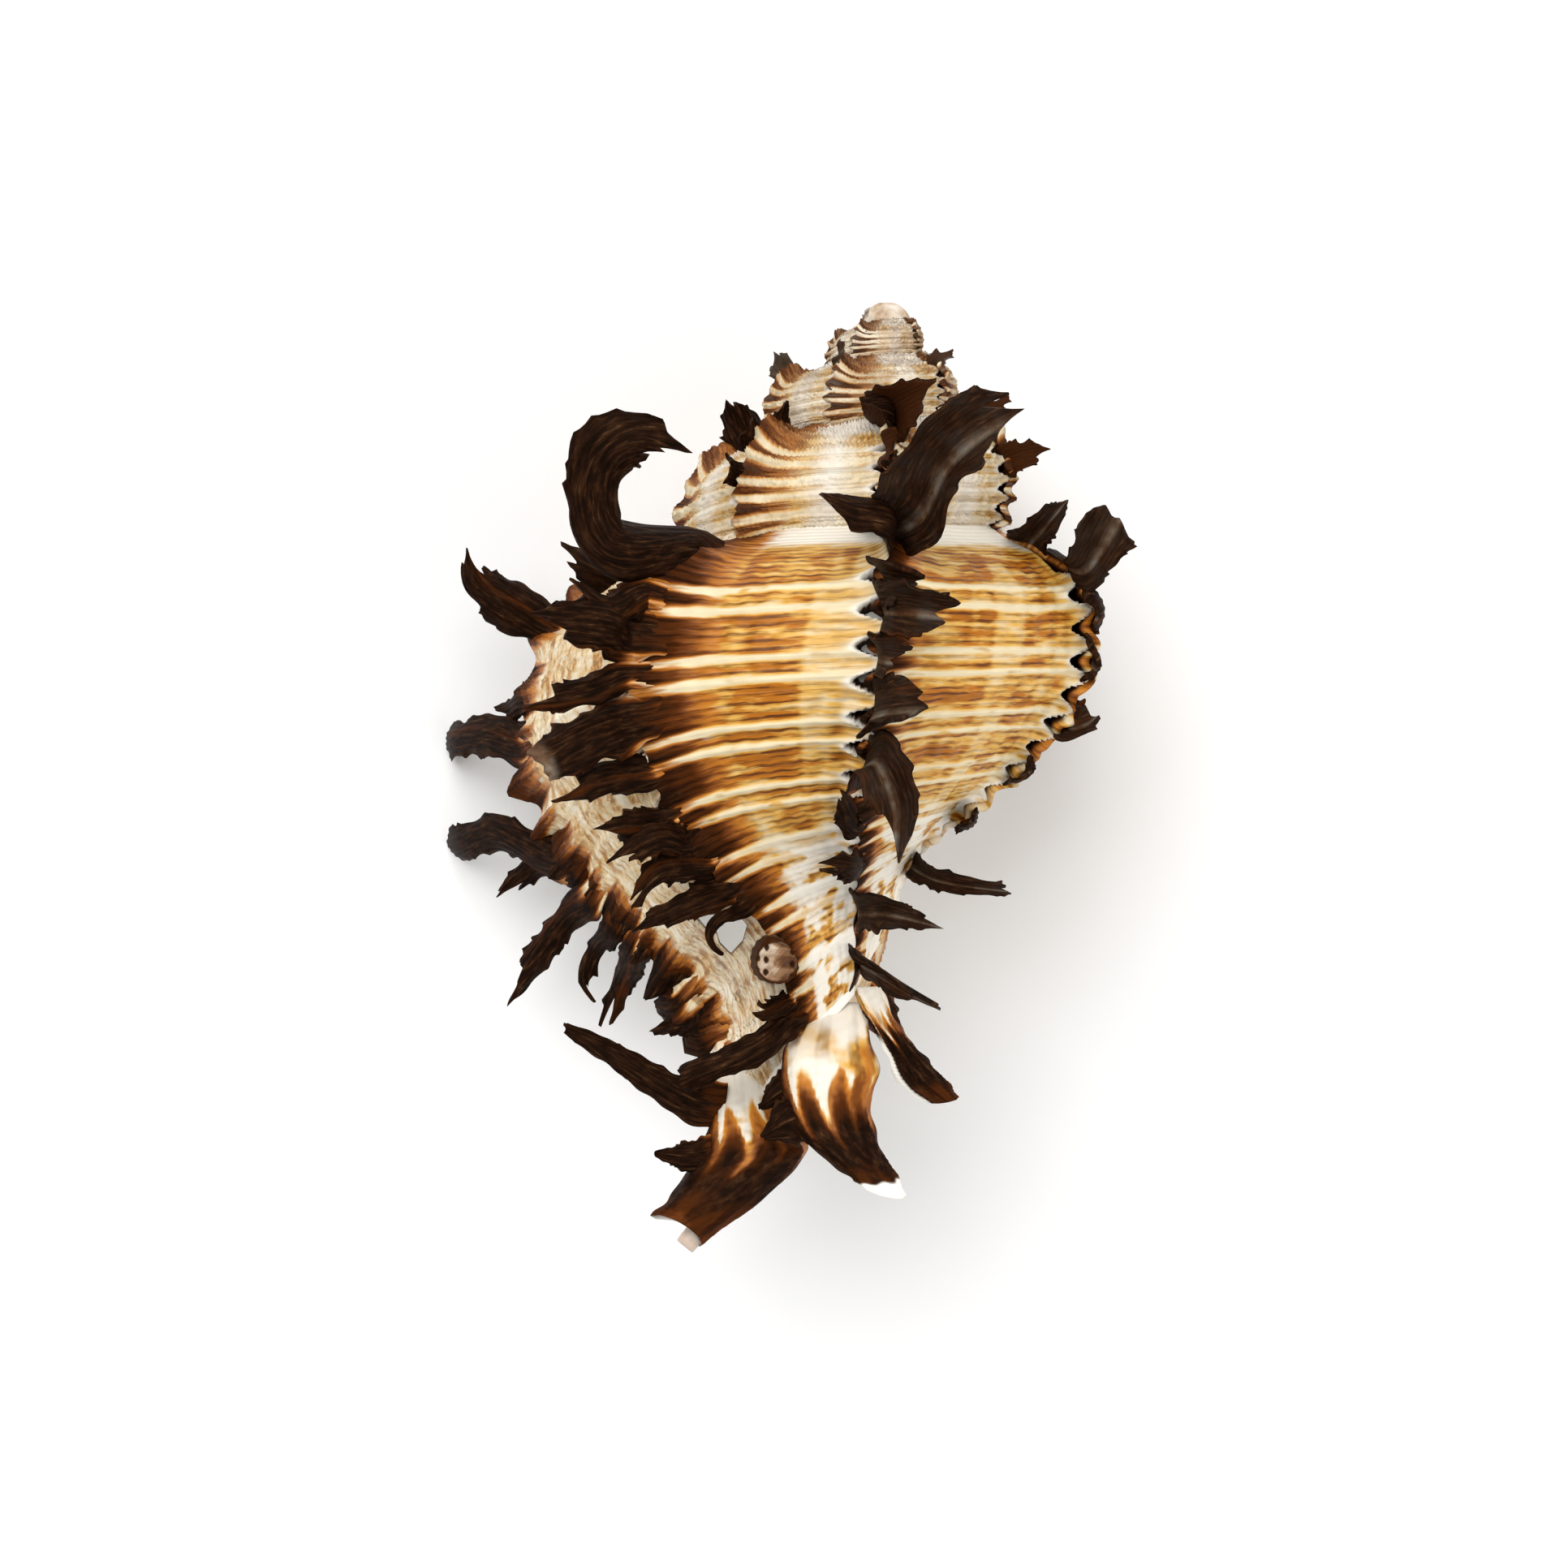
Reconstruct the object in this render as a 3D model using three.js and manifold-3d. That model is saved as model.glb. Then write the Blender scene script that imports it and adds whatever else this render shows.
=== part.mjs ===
// Endive murex shell, life size, lying on its mouth as a shell lies on a table.
// Millimetres, +Z up, +Y towards the spire, +X to the right when seen from above.
// The origin is under the middle of the shell, on the surface that it lies on.
//
// The shell is one solid. It is worked out as it grew: one section, turned about the
// axis and enlarged by the same factor in every turn. Each time growth paused, the lip
// thickened into a varix and folded outwards into leafy, channelled fronds.
import * as THREE from 'three';
import { mergeVertices } from 'three/addons/utils/BufferGeometryUtils.js';
import Module from 'manifold-3d';

const wasm = await Module();
wasm.setup();

// Growth: every turn is this many times the size of the one before it.
const growthPerTurn = 1.7;

// Where the spiral would start, just past the worn tip of the spire.
const spiralStart = new THREE.Vector3(10.0, 47.7, 19.6);

// The axis leans to the right at the spire, and its spire end lies a little lower.
const leanDegrees = 5.3;
const droopDegrees = 4.6;

// Section of the turn at angle 0: distance from the axis, and distance below the start
// of the spiral. It runs from the suture over the shoulder to the end of the neck.
const section = [
  [13.5, 23.7],
  [17.4, 25.6],
  [20.3, 28.4],
  [21.3, 32.8],
  [20.9, 36.5],
  [19.0, 39.7],
  [15.8, 43.6],
  [10.6, 48.0],
  [7.0, 51.4],
  [5.7, 54.5],
  [5.4, 60.0],
];
const buriedTop = [9.0, 20.3];
const neckEnd = [1.6, 61.5];
const innerTop = [1.6, 22.0];
const bulgeRow = 6;

// The last half turn climbs a little towards the spire at its suture.
const climbAtLip = 2.1;
const climbShare = [1, 0.6, 0.3];

// Angles, in degrees of growth, with 0 to the right, 90 on top and 180 to the left.
const lipAngle = 197;
const lastTurnStart = lipAngle - 360;
const oldestAngle = lipAngle - 360 * 4;
const newVarices = [138, 87, 28, -36, -88];
const oldVarices = [-165, -222, -273, -332, -392, -450, -540, -600, -675];
const varices = [...newVarices, ...oldVarices];

// A varix rises over this many degrees on its older side and falls over the second.
const riseDegrees = 18;
const fallDegrees = 3;
const varixHeight = 2.2;
const spireVarixShare = 0.6;
const lipFlare = 3.0;
const varixShare = [0.1, 0.7, 1, 1, 1, 1, 0.9, 0.7, 0.4, 0.2, 0.1];
const lipShare = [0.1, 0.6, 1, 1, 1, 1, 1, 1.1, 1.1, 0.9, 0.4];

// On the neck the lines of growth run back towards the older side.
const retreatDegrees = [0, 0, 0, 0, 0, 0, 0, 4, 10, 16, 26];

// The mouth: its section at the lip, and how far back the hollow runs.
const mouthSection = [
  [14.0, 37.0],
  [19.5, 36.4],
  [25.4, 38.8],
  [28.8, 43.6],
  [28.6, 49.0],
  [26.0, 54.4],
  [21.4, 60.0],
  [15.8, 65.4],
  [11.6, 68.4],
  [9.2, 64.0],
  [8.8, 57.0],
  [10.6, 50.0],
  [12.4, 44.0],
];
const mouthCentre = [17.0, 50.0];
const hollowAngles = [206, 197, 188, 174, 158, 142, 126, 110, 96];
const hollowShrink = [1.06, 0.98, 0.83, 0.8, 0.77, 0.72, 0.64, 0.54, 0.4];

// A gap beside the neck, where the lip stands apart from it: its middle and half sizes.
const gapMiddle = [-5.3, -14.0];
const gapHalfSizes = [2.0, 1.7];
const gapSides = 8;

// How far one stretch of a turn reaches back into the one before it, and the point of
// its section that the reaching end shrinks towards.
const startOverlap = 2;
const startInset = 0.06;
const startCentre = [10.0, 32.0];

// The core: distance from the axis and distance below the start of the spiral.
const coreProfile = [
  [0, 4.6],
  [1.5, 5.4],
  [2.6, 8.0],
  [3.2, 20.0],
  [4.4, 40.0],
  [5.6, 60.0],
  [5.0, 68.0],
  [0, 70.5],
];
const coreSides = 12;

// Steps of growth, in degrees, between the rings of the last turn and of the spire.
const stretchLength = 120;
const lastTurnStep = 16;
const spireStep = 30;

// Cutting blocks reach this far past the shell.
const blockSize = 200;

const shellColour = 0xc9a97a;

// Directions of the shell's own axes, and a point given by its distance from the axis,
// its angle and its distance below the start of the spiral.
const lean = THREE.MathUtils.degToRad(leanDegrees);
const droop = THREE.MathUtils.degToRad(droopDegrees);
const rightward = new THREE.Vector3(Math.cos(lean), -Math.sin(lean), 0);
const spireward = new THREE.Vector3(
  Math.sin(lean) * Math.cos(droop),
  Math.cos(lean) * Math.cos(droop),
  -Math.sin(droop),
);
const upward = new THREE.Vector3().crossVectors(rightward, spireward);

function direction(angle) {
  const turn = THREE.MathUtils.degToRad(angle);
  return rightward.clone().multiplyScalar(Math.cos(turn)).addScaledVector(upward, Math.sin(turn));
}

function place(radius, angle, drop) {
  return spiralStart.clone().addScaledVector(direction(angle), radius).addScaledVector(spireward, -drop);
}

function scaleAt(angle) {
  return growthPerTurn ** (angle / 360);
}

// Height of the varix relief at an angle, from 0 between varices to 1 on a crest.
function varixRelief(angle) {
  let relief = 0;
  for (const varix of varices) {
    const past = angle - varix;
    if (past > -riseDegrees && past <= 0) {
      relief = Math.max(relief, (1 + past / riseDegrees) ** 1.5);
    }
    if (past > 0 && past < fallDegrees) {
      relief = Math.max(relief, 1 - past / fallDegrees);
    }
  }
  return angle < lastTurnStart ? relief * spireVarixShare : relief;
}

function lipRelief(angle) {
  const past = angle - lipAngle;
  return past > -riseDegrees ? Math.min(1, (1 + past / riseDegrees) ** 2) : 0;
}

function climbAt(angle) {
  return angle > 0 ? climbAtLip * (angle / lipAngle) ** 1.5 : 0;
}

// Outward direction, in the plane of the section, at one of its rows.
function sectionNormal(row) {
  const before = section[Math.max(row - 1, 0)];
  const after = section[Math.min(row + 1, section.length - 1)];
  const along = new THREE.Vector2(after[0] - before[0], after[1] - before[1]).normalize();
  return new THREE.Vector2(along.y, -along.x);
}

// One corner of the section at an angle: distance from the axis and drop.
function sectionCorner(row, angle) {
  const scale = scaleAt(angle);
  const normal = sectionNormal(row);
  const varixRise = varixHeight * varixRelief(angle) * varixShare[row];
  const lipRise = lipFlare * lipRelief(angle) * lipShare[row];
  const rise = scale * (varixRise + lipRise);
  const climb = climbAt(angle) * (climbShare[row] ?? 0);
  return [
    section[row][0] * scale + normal.x * rise,
    section[row][1] * scale + normal.y * rise - climb,
  ];
}

function whorlOutline(angle, lastRow) {
  const scale = scaleAt(angle);
  const corners = [];
  corners.push([buriedTop[0] * scale, buriedTop[1] * scale - climbAt(angle)]);
  for (let row = 0; row <= lastRow; row += 1) {
    corners.push(sectionCorner(row, angle));
  }
  const foot = lastRow === section.length - 1 ? neckEnd[1] : section[lastRow][1];
  corners.push([neckEnd[0] * scale, foot * scale]);
  corners.push([innerTop[0] * scale, innerTop[1] * scale]);
  return corners;
}

// A closed solid through a row of rings with the same number of corners. The flat
// outlines of the first and the last ring give the end faces.
function skin(rings, firstOutline, lastOutline) {
  const corners = rings[0].length;
  const positions = [];
  for (const ring of rings) {
    for (const point of ring) {
      positions.push(point.x, point.y, point.z);
    }
  }
  const faces = [];
  for (let ring = 0; ring < rings.length - 1; ring += 1) {
    for (let corner = 0; corner < corners; corner += 1) {
      const next = (corner + 1) % corners;
      const a = ring * corners + corner;
      const b = ring * corners + next;
      const c = a + corners;
      const d = b + corners;
      faces.push([a, b, d], [a, d, c]);
    }
  }
  const flat = (outline) => outline.map(([x, y]) => new THREE.Vector2(x, y));
  const lastStart = (rings.length - 1) * corners;
  for (const [a, b, c] of capFaces(flat(firstOutline))) {
    faces.push([a, c, b]);
  }
  for (const [a, b, c] of capFaces(flat(lastOutline))) {
    faces.push([lastStart + a, lastStart + b, lastStart + c]);
  }
  return solidFrom(positions, faces);
}

// Triangles of a flat outline, in the same turning sense as its corners.
function capFaces(outline) {
  const clockwise = THREE.ShapeUtils.isClockWise(outline);
  const contour = clockwise ? [...outline].reverse() : outline;
  const last = outline.length - 1;
  return THREE.ShapeUtils.triangulateShape(contour, []).map(([a, b, c]) =>
    clockwise ? [last - a, last - c, last - b] : [a, b, c]);
}

function solidFrom(positions, faces) {
  const corner = (index) => new THREE.Vector3().fromArray(positions, index * 3);
  let volume = 0;
  for (const [a, b, c] of faces) {
    volume += corner(a).dot(corner(b).cross(corner(c)));
  }
  const outward = volume > 0 ? faces : faces.map(([a, b, c]) => [a, c, b]);
  return new wasm.Manifold(new wasm.Mesh({
    numProp: 3,
    vertProperties: new Float32Array(positions),
    triVerts: new Uint32Array(outward.flat()),
  }));
}

// A solid from a ready-made closed geometry, moved by a matrix.
function solidFromGeometry(geometry, matrix) {
  const bare = geometry.clone().applyMatrix4(matrix);
  bare.deleteAttribute('normal');
  bare.deleteAttribute('uv');
  const merged = mergeVertices(bare, 1e-4);
  const index = merged.index.array;
  const faces = [];
  for (let i = 0; i < index.length; i += 3) {
    if (index[i] !== index[i + 1] && index[i + 1] !== index[i + 2] && index[i] !== index[i + 2]) {
      faces.push([index[i], index[i + 1], index[i + 2]]);
    }
  }
  return solidFrom(Array.from(merged.attributes.position.array), faces);
}

// One stretch of a turn, between two angles, with the neck rows or without them. It
// starts with a smaller ring a little further back, inside the stretch before it.
function whorlStretch(angles, lastRow) {
  const outlines = angles.map((angle) => whorlOutline(angle, lastRow));
  const inner = outlines[0].map(([radius, drop]) => [
    THREE.MathUtils.lerp(radius, startCentre[0] * scaleAt(angles[0]), startInset),
    THREE.MathUtils.lerp(drop, startCentre[1] * scaleAt(angles[0]), startInset),
  ]);
  const rings = [inner, ...outlines].map((outline, i) => outline.map(([radius, drop], corner) => {
    const row = Math.min(Math.max(corner - 1, 0), lastRow);
    const retreat = corner > lastRow + 1 ? 0 : retreatDegrees[row];
    return place(radius, (i === 0 ? angles[0] - startOverlap : angles[i - 1]) - retreat, drop);
  }));
  return skin(rings, inner, outlines[outlines.length - 1]);
}

// The angles that a stretch needs: the edges of its varices and even steps between.
function stretchAngles(from, to, step) {
  const marks = [lipAngle - riseDegrees, lipAngle - riseDegrees / 2];
  for (const varix of varices) {
    marks.push(varix - riseDegrees, varix, varix + fallDegrees);
    if (to > lastTurnStart) {
      marks.push(varix - riseDegrees / 2);
    }
  }
  const inside = marks.filter((mark) => mark > from + 1 && mark < to - 1);
  const sorted = [from, ...inside.sort((a, b) => a - b), to];
  const angles = [from];
  for (let i = 1; i < sorted.length; i += 1) {
    const gap = sorted[i] - sorted[i - 1];
    const parts = Math.max(1, Math.round(gap / step));
    for (let part = 1; part <= parts; part += 1) {
      angles.push(sorted[i - 1] + (gap * part) / parts);
    }
  }
  return angles;
}

// Point of the outer surface on a line of growth, from the drop at angle 0.
function surfacePoint(angle, drop) {
  let row = 0;
  while (row < section.length - 2 && section[row + 1][1] < drop) {
    row += 1;
  }
  const [above, below] = [section[row][1], section[row + 1][1]];
  const share = THREE.MathUtils.clamp((drop - above) / (below - above), 0, 1);
  const a = sectionCorner(row, angle);
  const b = sectionCorner(row + 1, angle);
  const retreat = THREE.MathUtils.lerp(retreatDegrees[row], retreatDegrees[row + 1], share);
  const radius = THREE.MathUtils.lerp(a[0], b[0], share);
  const normal = sectionNormal(row).lerp(sectionNormal(row + 1), share).normalize();
  const outward = direction(angle - retreat).multiplyScalar(normal.x).addScaledVector(spireward, -normal.y);
  return {
    point: place(radius, angle - retreat, THREE.MathUtils.lerp(a[1], b[1], share)),
    outward,
    older: direction(angle - retreat - 90),
  };
}

// Section of a frond: a folded channel, convex on its older side.
const channel = [
  [-1, -0.55],
  [-0.58, 0.45],
  [0.58, 0.45],
  [1, -0.55],
  [0, 0],
];
const frondDepthShare = 0.7;
const frondRootDepth = 1.6;
const frondRootBack = 0.6;
const curlBackShare = 0.35;
const shortFrondTaper = [1, 0.9, 0.45];
const shortFrondRings = 4;
const canalRings = 7;
const spineRings = 4;

// A channelled frond along a smooth line of points, its back turned to one side.
function frondAlong(points, back, widths, rings) {
  const line = new THREE.CatmullRomCurve3(points, false, 'centripetal');
  let backward = back.clone();
  const outlines = [];
  for (let ring = 0; ring < rings; ring += 1) {
    const along = ring / (rings - 1);
    const centre = line.getPoint(along);
    const tangent = line.getTangent(along);
    backward = backward.clone().addScaledVector(tangent, -backward.dot(tangent)).normalize();
    const across = new THREE.Vector3().crossVectors(tangent, backward);
    const half = valueAlong(widths, along) / 2;
    outlines.push(channel.map(([x, y]) => centre.clone()
      .addScaledVector(across, x * half)
      .addScaledVector(backward, y * half * 2 * frondDepthShare)));
  }
  return skin(outlines, channel, channel);
}

// A value part of the way along an even list of values, such as widths from root to tip.
function valueAlong(values, along) {
  const position = along * (values.length - 1);
  const step = Math.min(Math.floor(position), values.length - 2);
  return THREE.MathUtils.lerp(values[step], values[step + 1], position - step);
}

// A frond that grows from a varix: where its root is, and the points that it passes.
function frond(angle, { drop, widths, path, rings = 3 + path.length }) {
  const { point, outward, older } = surfacePoint(angle, drop);
  const root = point.clone().addScaledVector(outward, -frondRootDepth).addScaledVector(older, frondRootBack);
  const points = [root, ...path.map(([x, y, z]) => new THREE.Vector3(x, y, z))];
  return frondAlong(points, older, widths, rings);
}

// A plain frond that stands straight out of the surface and curls back a little.
function shortFrond(angle, drop, length, width) {
  const { point, outward, older } = surfacePoint(angle, drop);
  const scale = scaleAt(angle);
  const root = point.clone().addScaledVector(outward, -frondRootDepth * scale);
  const middle = point.clone().addScaledVector(outward, (length * scale) / 2);
  const tip = point.clone().addScaledVector(outward, length * scale)
    .addScaledVector(older, length * scale * curlBackShare);
  const widths = shortFrondTaper.map((share) => share * width * scale);
  return frondAlong([root, middle, tip], older, widths, shortFrondRings);
}

// Fronds of the newest varix, at the lip. The two wide ones reach the table.
const lipFronds = [
  { drop: 28.2, widths: [4.2, 4.6, 1.2], path: [[-26.5, 17.5, 14], [-28.4, 19.2, 14], [-29.3, 22.2, 14]] },
  { drop: 25.0, widths: [4.0, 3.6, 1.6], path: [[-17.5, 20.0, 20], [-20.9, 22.1, 19]] },
  { drop: 32.0, widths: [3.0, 2.4, 1.6], path: [[-25.5, 7.0, 11], [-27.2, 6.5, 9]] },
  { drop: 34.6, widths: [4.6, 3.8, 3.4], path: [[-27.5, 4.6, 10.5], [-30.8, 4.2, 4.5], [-31.2, 4.0, -1]] },
  { drop: 41.0, widths: [4.4, 3.6, 3.2], path: [[-27.0, -4.4, 10.5], [-30.6, -5.4, 4.5], [-31.0, -5.8, -1]] },
  { drop: 43.0, widths: [3.0, 2.4, 1.2], path: [[-23.0, -7.5, 12], [-26.9, -10.7, 9]] },
  { drop: 46.0, widths: [5.6, 3.4, 2.6, 1.6], path: [[-21.5, -14.4, 12], [-26.4, -20.2, 9]] },
  { drop: 47.6, widths: [3.0, 2.2, 1.0], path: [[-18.8, -17.0, 13], [-17.2, -20.6, 12]] },
  { drop: 48.6, widths: [3.0, 2.4, 1.0], path: [[-15.2, -18.5, 14], [-16.8, -23.0, 12]] },
  { drop: 50.4, widths: [4.2, 3.6, 2.4], path: [[-10.8, -18.9, 18]] },
  { drop: 53.4, widths: [4.4, 2.6, 1.6], path: [[-7.6, -21.2, 19], [-12.2, -22.0, 18]] },
];

// Fronds of the varix on the upper left, whose backs are seen from above.
const leftFronds = [
  { drop: 24.4, widths: [6.5, 6.2, 1.4], rings: 7,
    path: [[-16.4, 23.4, 41], [-17.4, 28.0, 44.5], [-14.0, 30.8, 46.5], [-8.6, 29.6, 45]] },
  { drop: 29.8, widths: [5.0, 4.4, 1.2], path: [[-16.5, 14.5, 46], [-23.0, 15.0, 49]] },
  { drop: 28.8, widths: [3.6, 2.6, 1.0], path: [[-16.0, 16.0, 45], [-19.6, 18.6, 47]] },
  { drop: 34.0, widths: [4.4, 3.8, 1.2], path: [[-17.5, 8.6, 44], [-24.0, 7.4, 46]] },
  { drop: 36.8, widths: [4.4, 3.8, 1.2], path: [[-16.5, 4.8, 44], [-22.8, 2.8, 46]] },
  { drop: 40.0, widths: [3.6, 3.0, 1.0], path: [[-16.5, 0.4, 42], [-21.2, -1.4, 44]] },
  { drop: 43.0, widths: [3.2, 2.6, 1.2], path: [[-17.4, -4.2, 41]] },
  { drop: 44.6, widths: [3.4, 2.8, 1.0], path: [[-11.5, -5.0, 41], [-16.1, -7.4, 41]] },
  { drop: 46.2, widths: [3.2, 2.6, 1.0], path: [[-11.4, -8.0, 39], [-14.2, -11.2, 39]] },
  { drop: 48.4, widths: [3.0, 2.4, 1.0], path: [[-9.4, -11.4, 37], [-14.0, -14.0, 37]] },
  { drop: 50.2, widths: [2.4, 1.8, 0.9], path: [[-6.8, -13.6, 36], [-5.6, -15.6, 35]] },
  { drop: 53.4, widths: [4.0, 3.6, 3.2], path: [[-1.6, -16.0, 35], [-0.8, -16.4, 38]] },
  { drop: 56.6, widths: [2.4, 2.2, 1.6], path: [[-3.0, -21.7, 32]] },
  { drop: 57.6, widths: [3.4, 2.6, 1.2], path: [[-3.0, -24.2, 33], [-10.0, -27.4, 33]] },
];

// Fronds of the varix on top, which stand up and curl back to the right.
const topFronds = [
  { drop: 24.4, widths: [5.4, 5.4, 1.6], rings: 6,
    path: [[12.0, 26.5, 46], [14.6, 31.0, 50.5], [21.8, 34.0, 50]] },
  { drop: 25.6, widths: [3.4, 2.8, 1.2], path: [[6.5, 25.8, 45], [3.1, 26.6, 46.5]] },
  { drop: 29.6, widths: [4.6, 3.6, 1.6], path: [[10.4, 16.4, 52], [15.8, 15.4, 54]] },
  { drop: 33.6, widths: [3.6, 2.6, 1.6], path: [[9.0, 11.4, 52], [11.2, 11.2, 53]] },
  { drop: 37.4, widths: [4.2, 3.4, 1.8], path: [[9.4, 7.2, 53], [12.7, 7.4, 54.5]] },
  { drop: 41.4, widths: [4.4, 3.6, 1.6], path: [[8.6, 2.4, 51], [10.4, -2.0, 53], [10.2, -7.2, 52]] },
  { drop: 46.0, widths: [3.0, 2.2, 1.0], path: [[5.0, -0.6, 45]] },
  { drop: 49.0, widths: [3.4, 2.6, 1.2], path: [[5.6, -7.4, 42], [2.9, -7.4, 43]] },
  { drop: 52.6, widths: [4.0, 3.2, 1.4], path: [[9.6, -11.6, 39], [14.6, -13.0, 40]] },
  { drop: 56.6, widths: [3.4, 2.6, 1.2], path: [[9.6, -18.0, 36], [14.4, -20.6, 36]] },
];

// Fronds of the varix on the right, whose open fronts are seen from above.
const rightFronds = [
  { drop: 26.2, widths: [3.4, 4.4, 6.4], path: [[27.0, 19.6, 34], [30.6, 24.6, 35.5]] },
  { drop: 24.6, widths: [4.0, 3.0, 1.2], path: [[23.4, 23.4, 33], [25.8, 26.0, 35]] },
  { drop: 30.2, widths: [4.4, 3.6, 2.0], path: [[28.2, 15.2, 35]] },
  { drop: 34.0, widths: [4.4, 3.6, 2.0], path: [[28.6, 10.6, 35]] },
  { drop: 38.4, widths: [4.0, 3.2, 1.4], path: [[28.8, 6.4, 33.5]] },
  { drop: 43.4, widths: [3.4, 2.6, 1.2], path: [[22.8, 1.4, 33.5]] },
  { drop: 47.6, widths: [3.0, 2.2, 1.0], path: [[17.2, -3.2, 34]] },
  { drop: 52.6, widths: [2.6, 1.8, 1.2], path: [[14.4, -8.8, 31], [20.9, -9.8, 31]] },
];

// Two fronds under the right side that reach the table, and the lower ones near them.
const lowerRightFronds = [
  { drop: 28.4, widths: [5.0, 4.4, 4.0], path: [[23.5, 17.8, 7], [24.4, 17.6, -1]] },
  { drop: 36.6, widths: [5.0, 4.4, 4.0], path: [[23.2, 9.6, 7], [23.8, 9.4, -1]] },
];
const underFronds = [
  { drop: 31.0, widths: [4.4, 4.4, 4.0], path: [[6.6, 20.2, -1]] },
  { drop: 41.0, widths: [4.4, 4.4, 4.0], path: [[5.6, 12.4, -1]] },
];

// Plain fronds where the shell is seen little: angle of the varix, drops, length, width.
const plainFronds = [
  { varix: -36, drops: [32.6, 41.0, 45.6, 50.0], length: 5.0, width: 3.6 },
  { varix: -88, drops: [26.4, 45.6, 49.6], length: 3.0, width: 3.2 },
  { varix: -165, drops: [24.2], length: 8.0, width: 5.0 },
  { varix: -222, drops: [24.6, 27.4, 30.4], length: 5.5, width: 3.6 },
  { varix: -273, drops: [25.0, 29.0], length: 8.0, width: 5.0 },
  { varix: -332, drops: [25.0, 29.4], length: 8.0, width: 4.6 },
  { varix: -392, drops: [25.0, 29.4], length: 6.5, width: 4.4 },
  { varix: -450, drops: [25.0, 29.4], length: 5.5, width: 4.4 },
  { varix: -540, drops: [26.0], length: 8.0, width: 5.0 },
  { varix: -600, drops: [26.0], length: 7.0, width: 5.0 },
  { varix: -675, drops: [26.0], length: 7.0, width: 5.0 },
];

// Canals: spouts at the foot of the neck, one for each varix, with the newest first.
const canals = [
  { from: [197, 50], side: 240, widths: [7.5, 6.0, 5.5, 8.0, 9.6, 8.4, 3.0],
    path: [[-4.6, -20.5, 24], [-3.8, -28.0, 27], [-3.4, -33.4, 29], [-6.0, -37.8, 31], [-9.4, -42.8, 33]] },
  { from: [138, 54], side: 250, widths: [8.0, 9.0, 8.8, 6.8, 6.2, 3.0],
    path: [[3.6, -22.0, 30], [4.4, -28.0, 32], [6.4, -32.6, 35], [10.2, -37.6, 38]] },
  { from: [87, 53], side: 110, widths: [6.0, 6.5, 3.0],
    path: [[6.2, -19.8, 29], [9.8, -24.0, 28], [15.2, -27.8, 28]] },
  { from: [28, 54], side: 40, widths: [5.0, 5.0, 3.0],
    path: [[6.8, -17.0, 21], [8.2, -20.6, 18], [10.0, -23.4, 14]] },
];

function canal({ from: [angle, drop], side, widths, path }) {
  const { point, outward } = surfacePoint(angle, drop);
  const root = point.addScaledVector(outward, -widths[0] / 2);
  const points = [root, ...path.map(([x, y, z]) => new THREE.Vector3(x, y, z))];
  return frondAlong(points, direction(side).negate(), widths, canalRings);
}

// Spines that stand on the canals.
const canalSpines = [
  { points: [[-3.4, -30.0, 29], [-10.7, -27.5, 28], [-20.4, -21.9, 26]], widths: [3.4, 2.4, 1.2] },
  { points: [[-6.4, -33.6, 32], [-11.9, -34.4, 32]], widths: [2.6, 2.0, 1.0] },
  { points: [[2.6, -28.8, 33], [-2.2, -29.8, 34]], widths: [2.6, 2.0, 1.0] },
  { points: [[2.6, -30.6, 34], [-2.1, -32.2, 35]], widths: [2.6, 2.0, 1.0] },
];

// The hollow behind the mouth: the mouth's section, turned back into the last turn.
function mouthHollow() {
  const outlines = hollowAngles.map((angle, i) => {
    const scale = scaleAt(Math.min(angle, lipAngle)) / scaleAt(lipAngle);
    return mouthSection.map(([radius, drop]) => [
      scale * (mouthCentre[0] + (radius - mouthCentre[0]) * hollowShrink[i]),
      scale * (mouthCentre[1] + (drop - mouthCentre[1]) * hollowShrink[i]),
    ]);
  });
  const rings = outlines.map((outline, i) =>
    outline.map(([radius, drop]) => place(radius, hollowAngles[i], drop)));
  return skin(rings, outlines[0], outlines[outlines.length - 1]);
}

// The core that the turns wind round, from the worn tip to the neck.
function core() {
  const points = coreProfile.map(([radius, drop]) => new THREE.Vector2(radius, -drop));
  const geometry = new THREE.LatheGeometry(points.reverse(), coreSides);
  const matrix = new THREE.Matrix4().makeBasis(rightward, spireward, upward.clone().negate());
  matrix.setPosition(spiralStart);
  return solidFromGeometry(geometry, matrix);
}

// Everything below the surface that the shell lies on, for the worn frond ends.
function tableBlock() {
  const matrix = new THREE.Matrix4().makeTranslation(0, 0, -blockSize / 2);
  return solidFromGeometry(new THREE.BoxGeometry(blockSize, blockSize, blockSize), matrix);
}

// The gap beside the neck, as an upright prism through the wall.
function gapBesideNeck() {
  const matrix = new THREE.Matrix4().makeRotationX(Math.PI / 2);
  matrix.premultiply(new THREE.Matrix4().makeScale(gapHalfSizes[0], gapHalfSizes[1], 1));
  matrix.setPosition(gapMiddle[0], gapMiddle[1], 0);
  return solidFromGeometry(new THREE.CylinderGeometry(1, 1, blockSize, gapSides), matrix);
}

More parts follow.
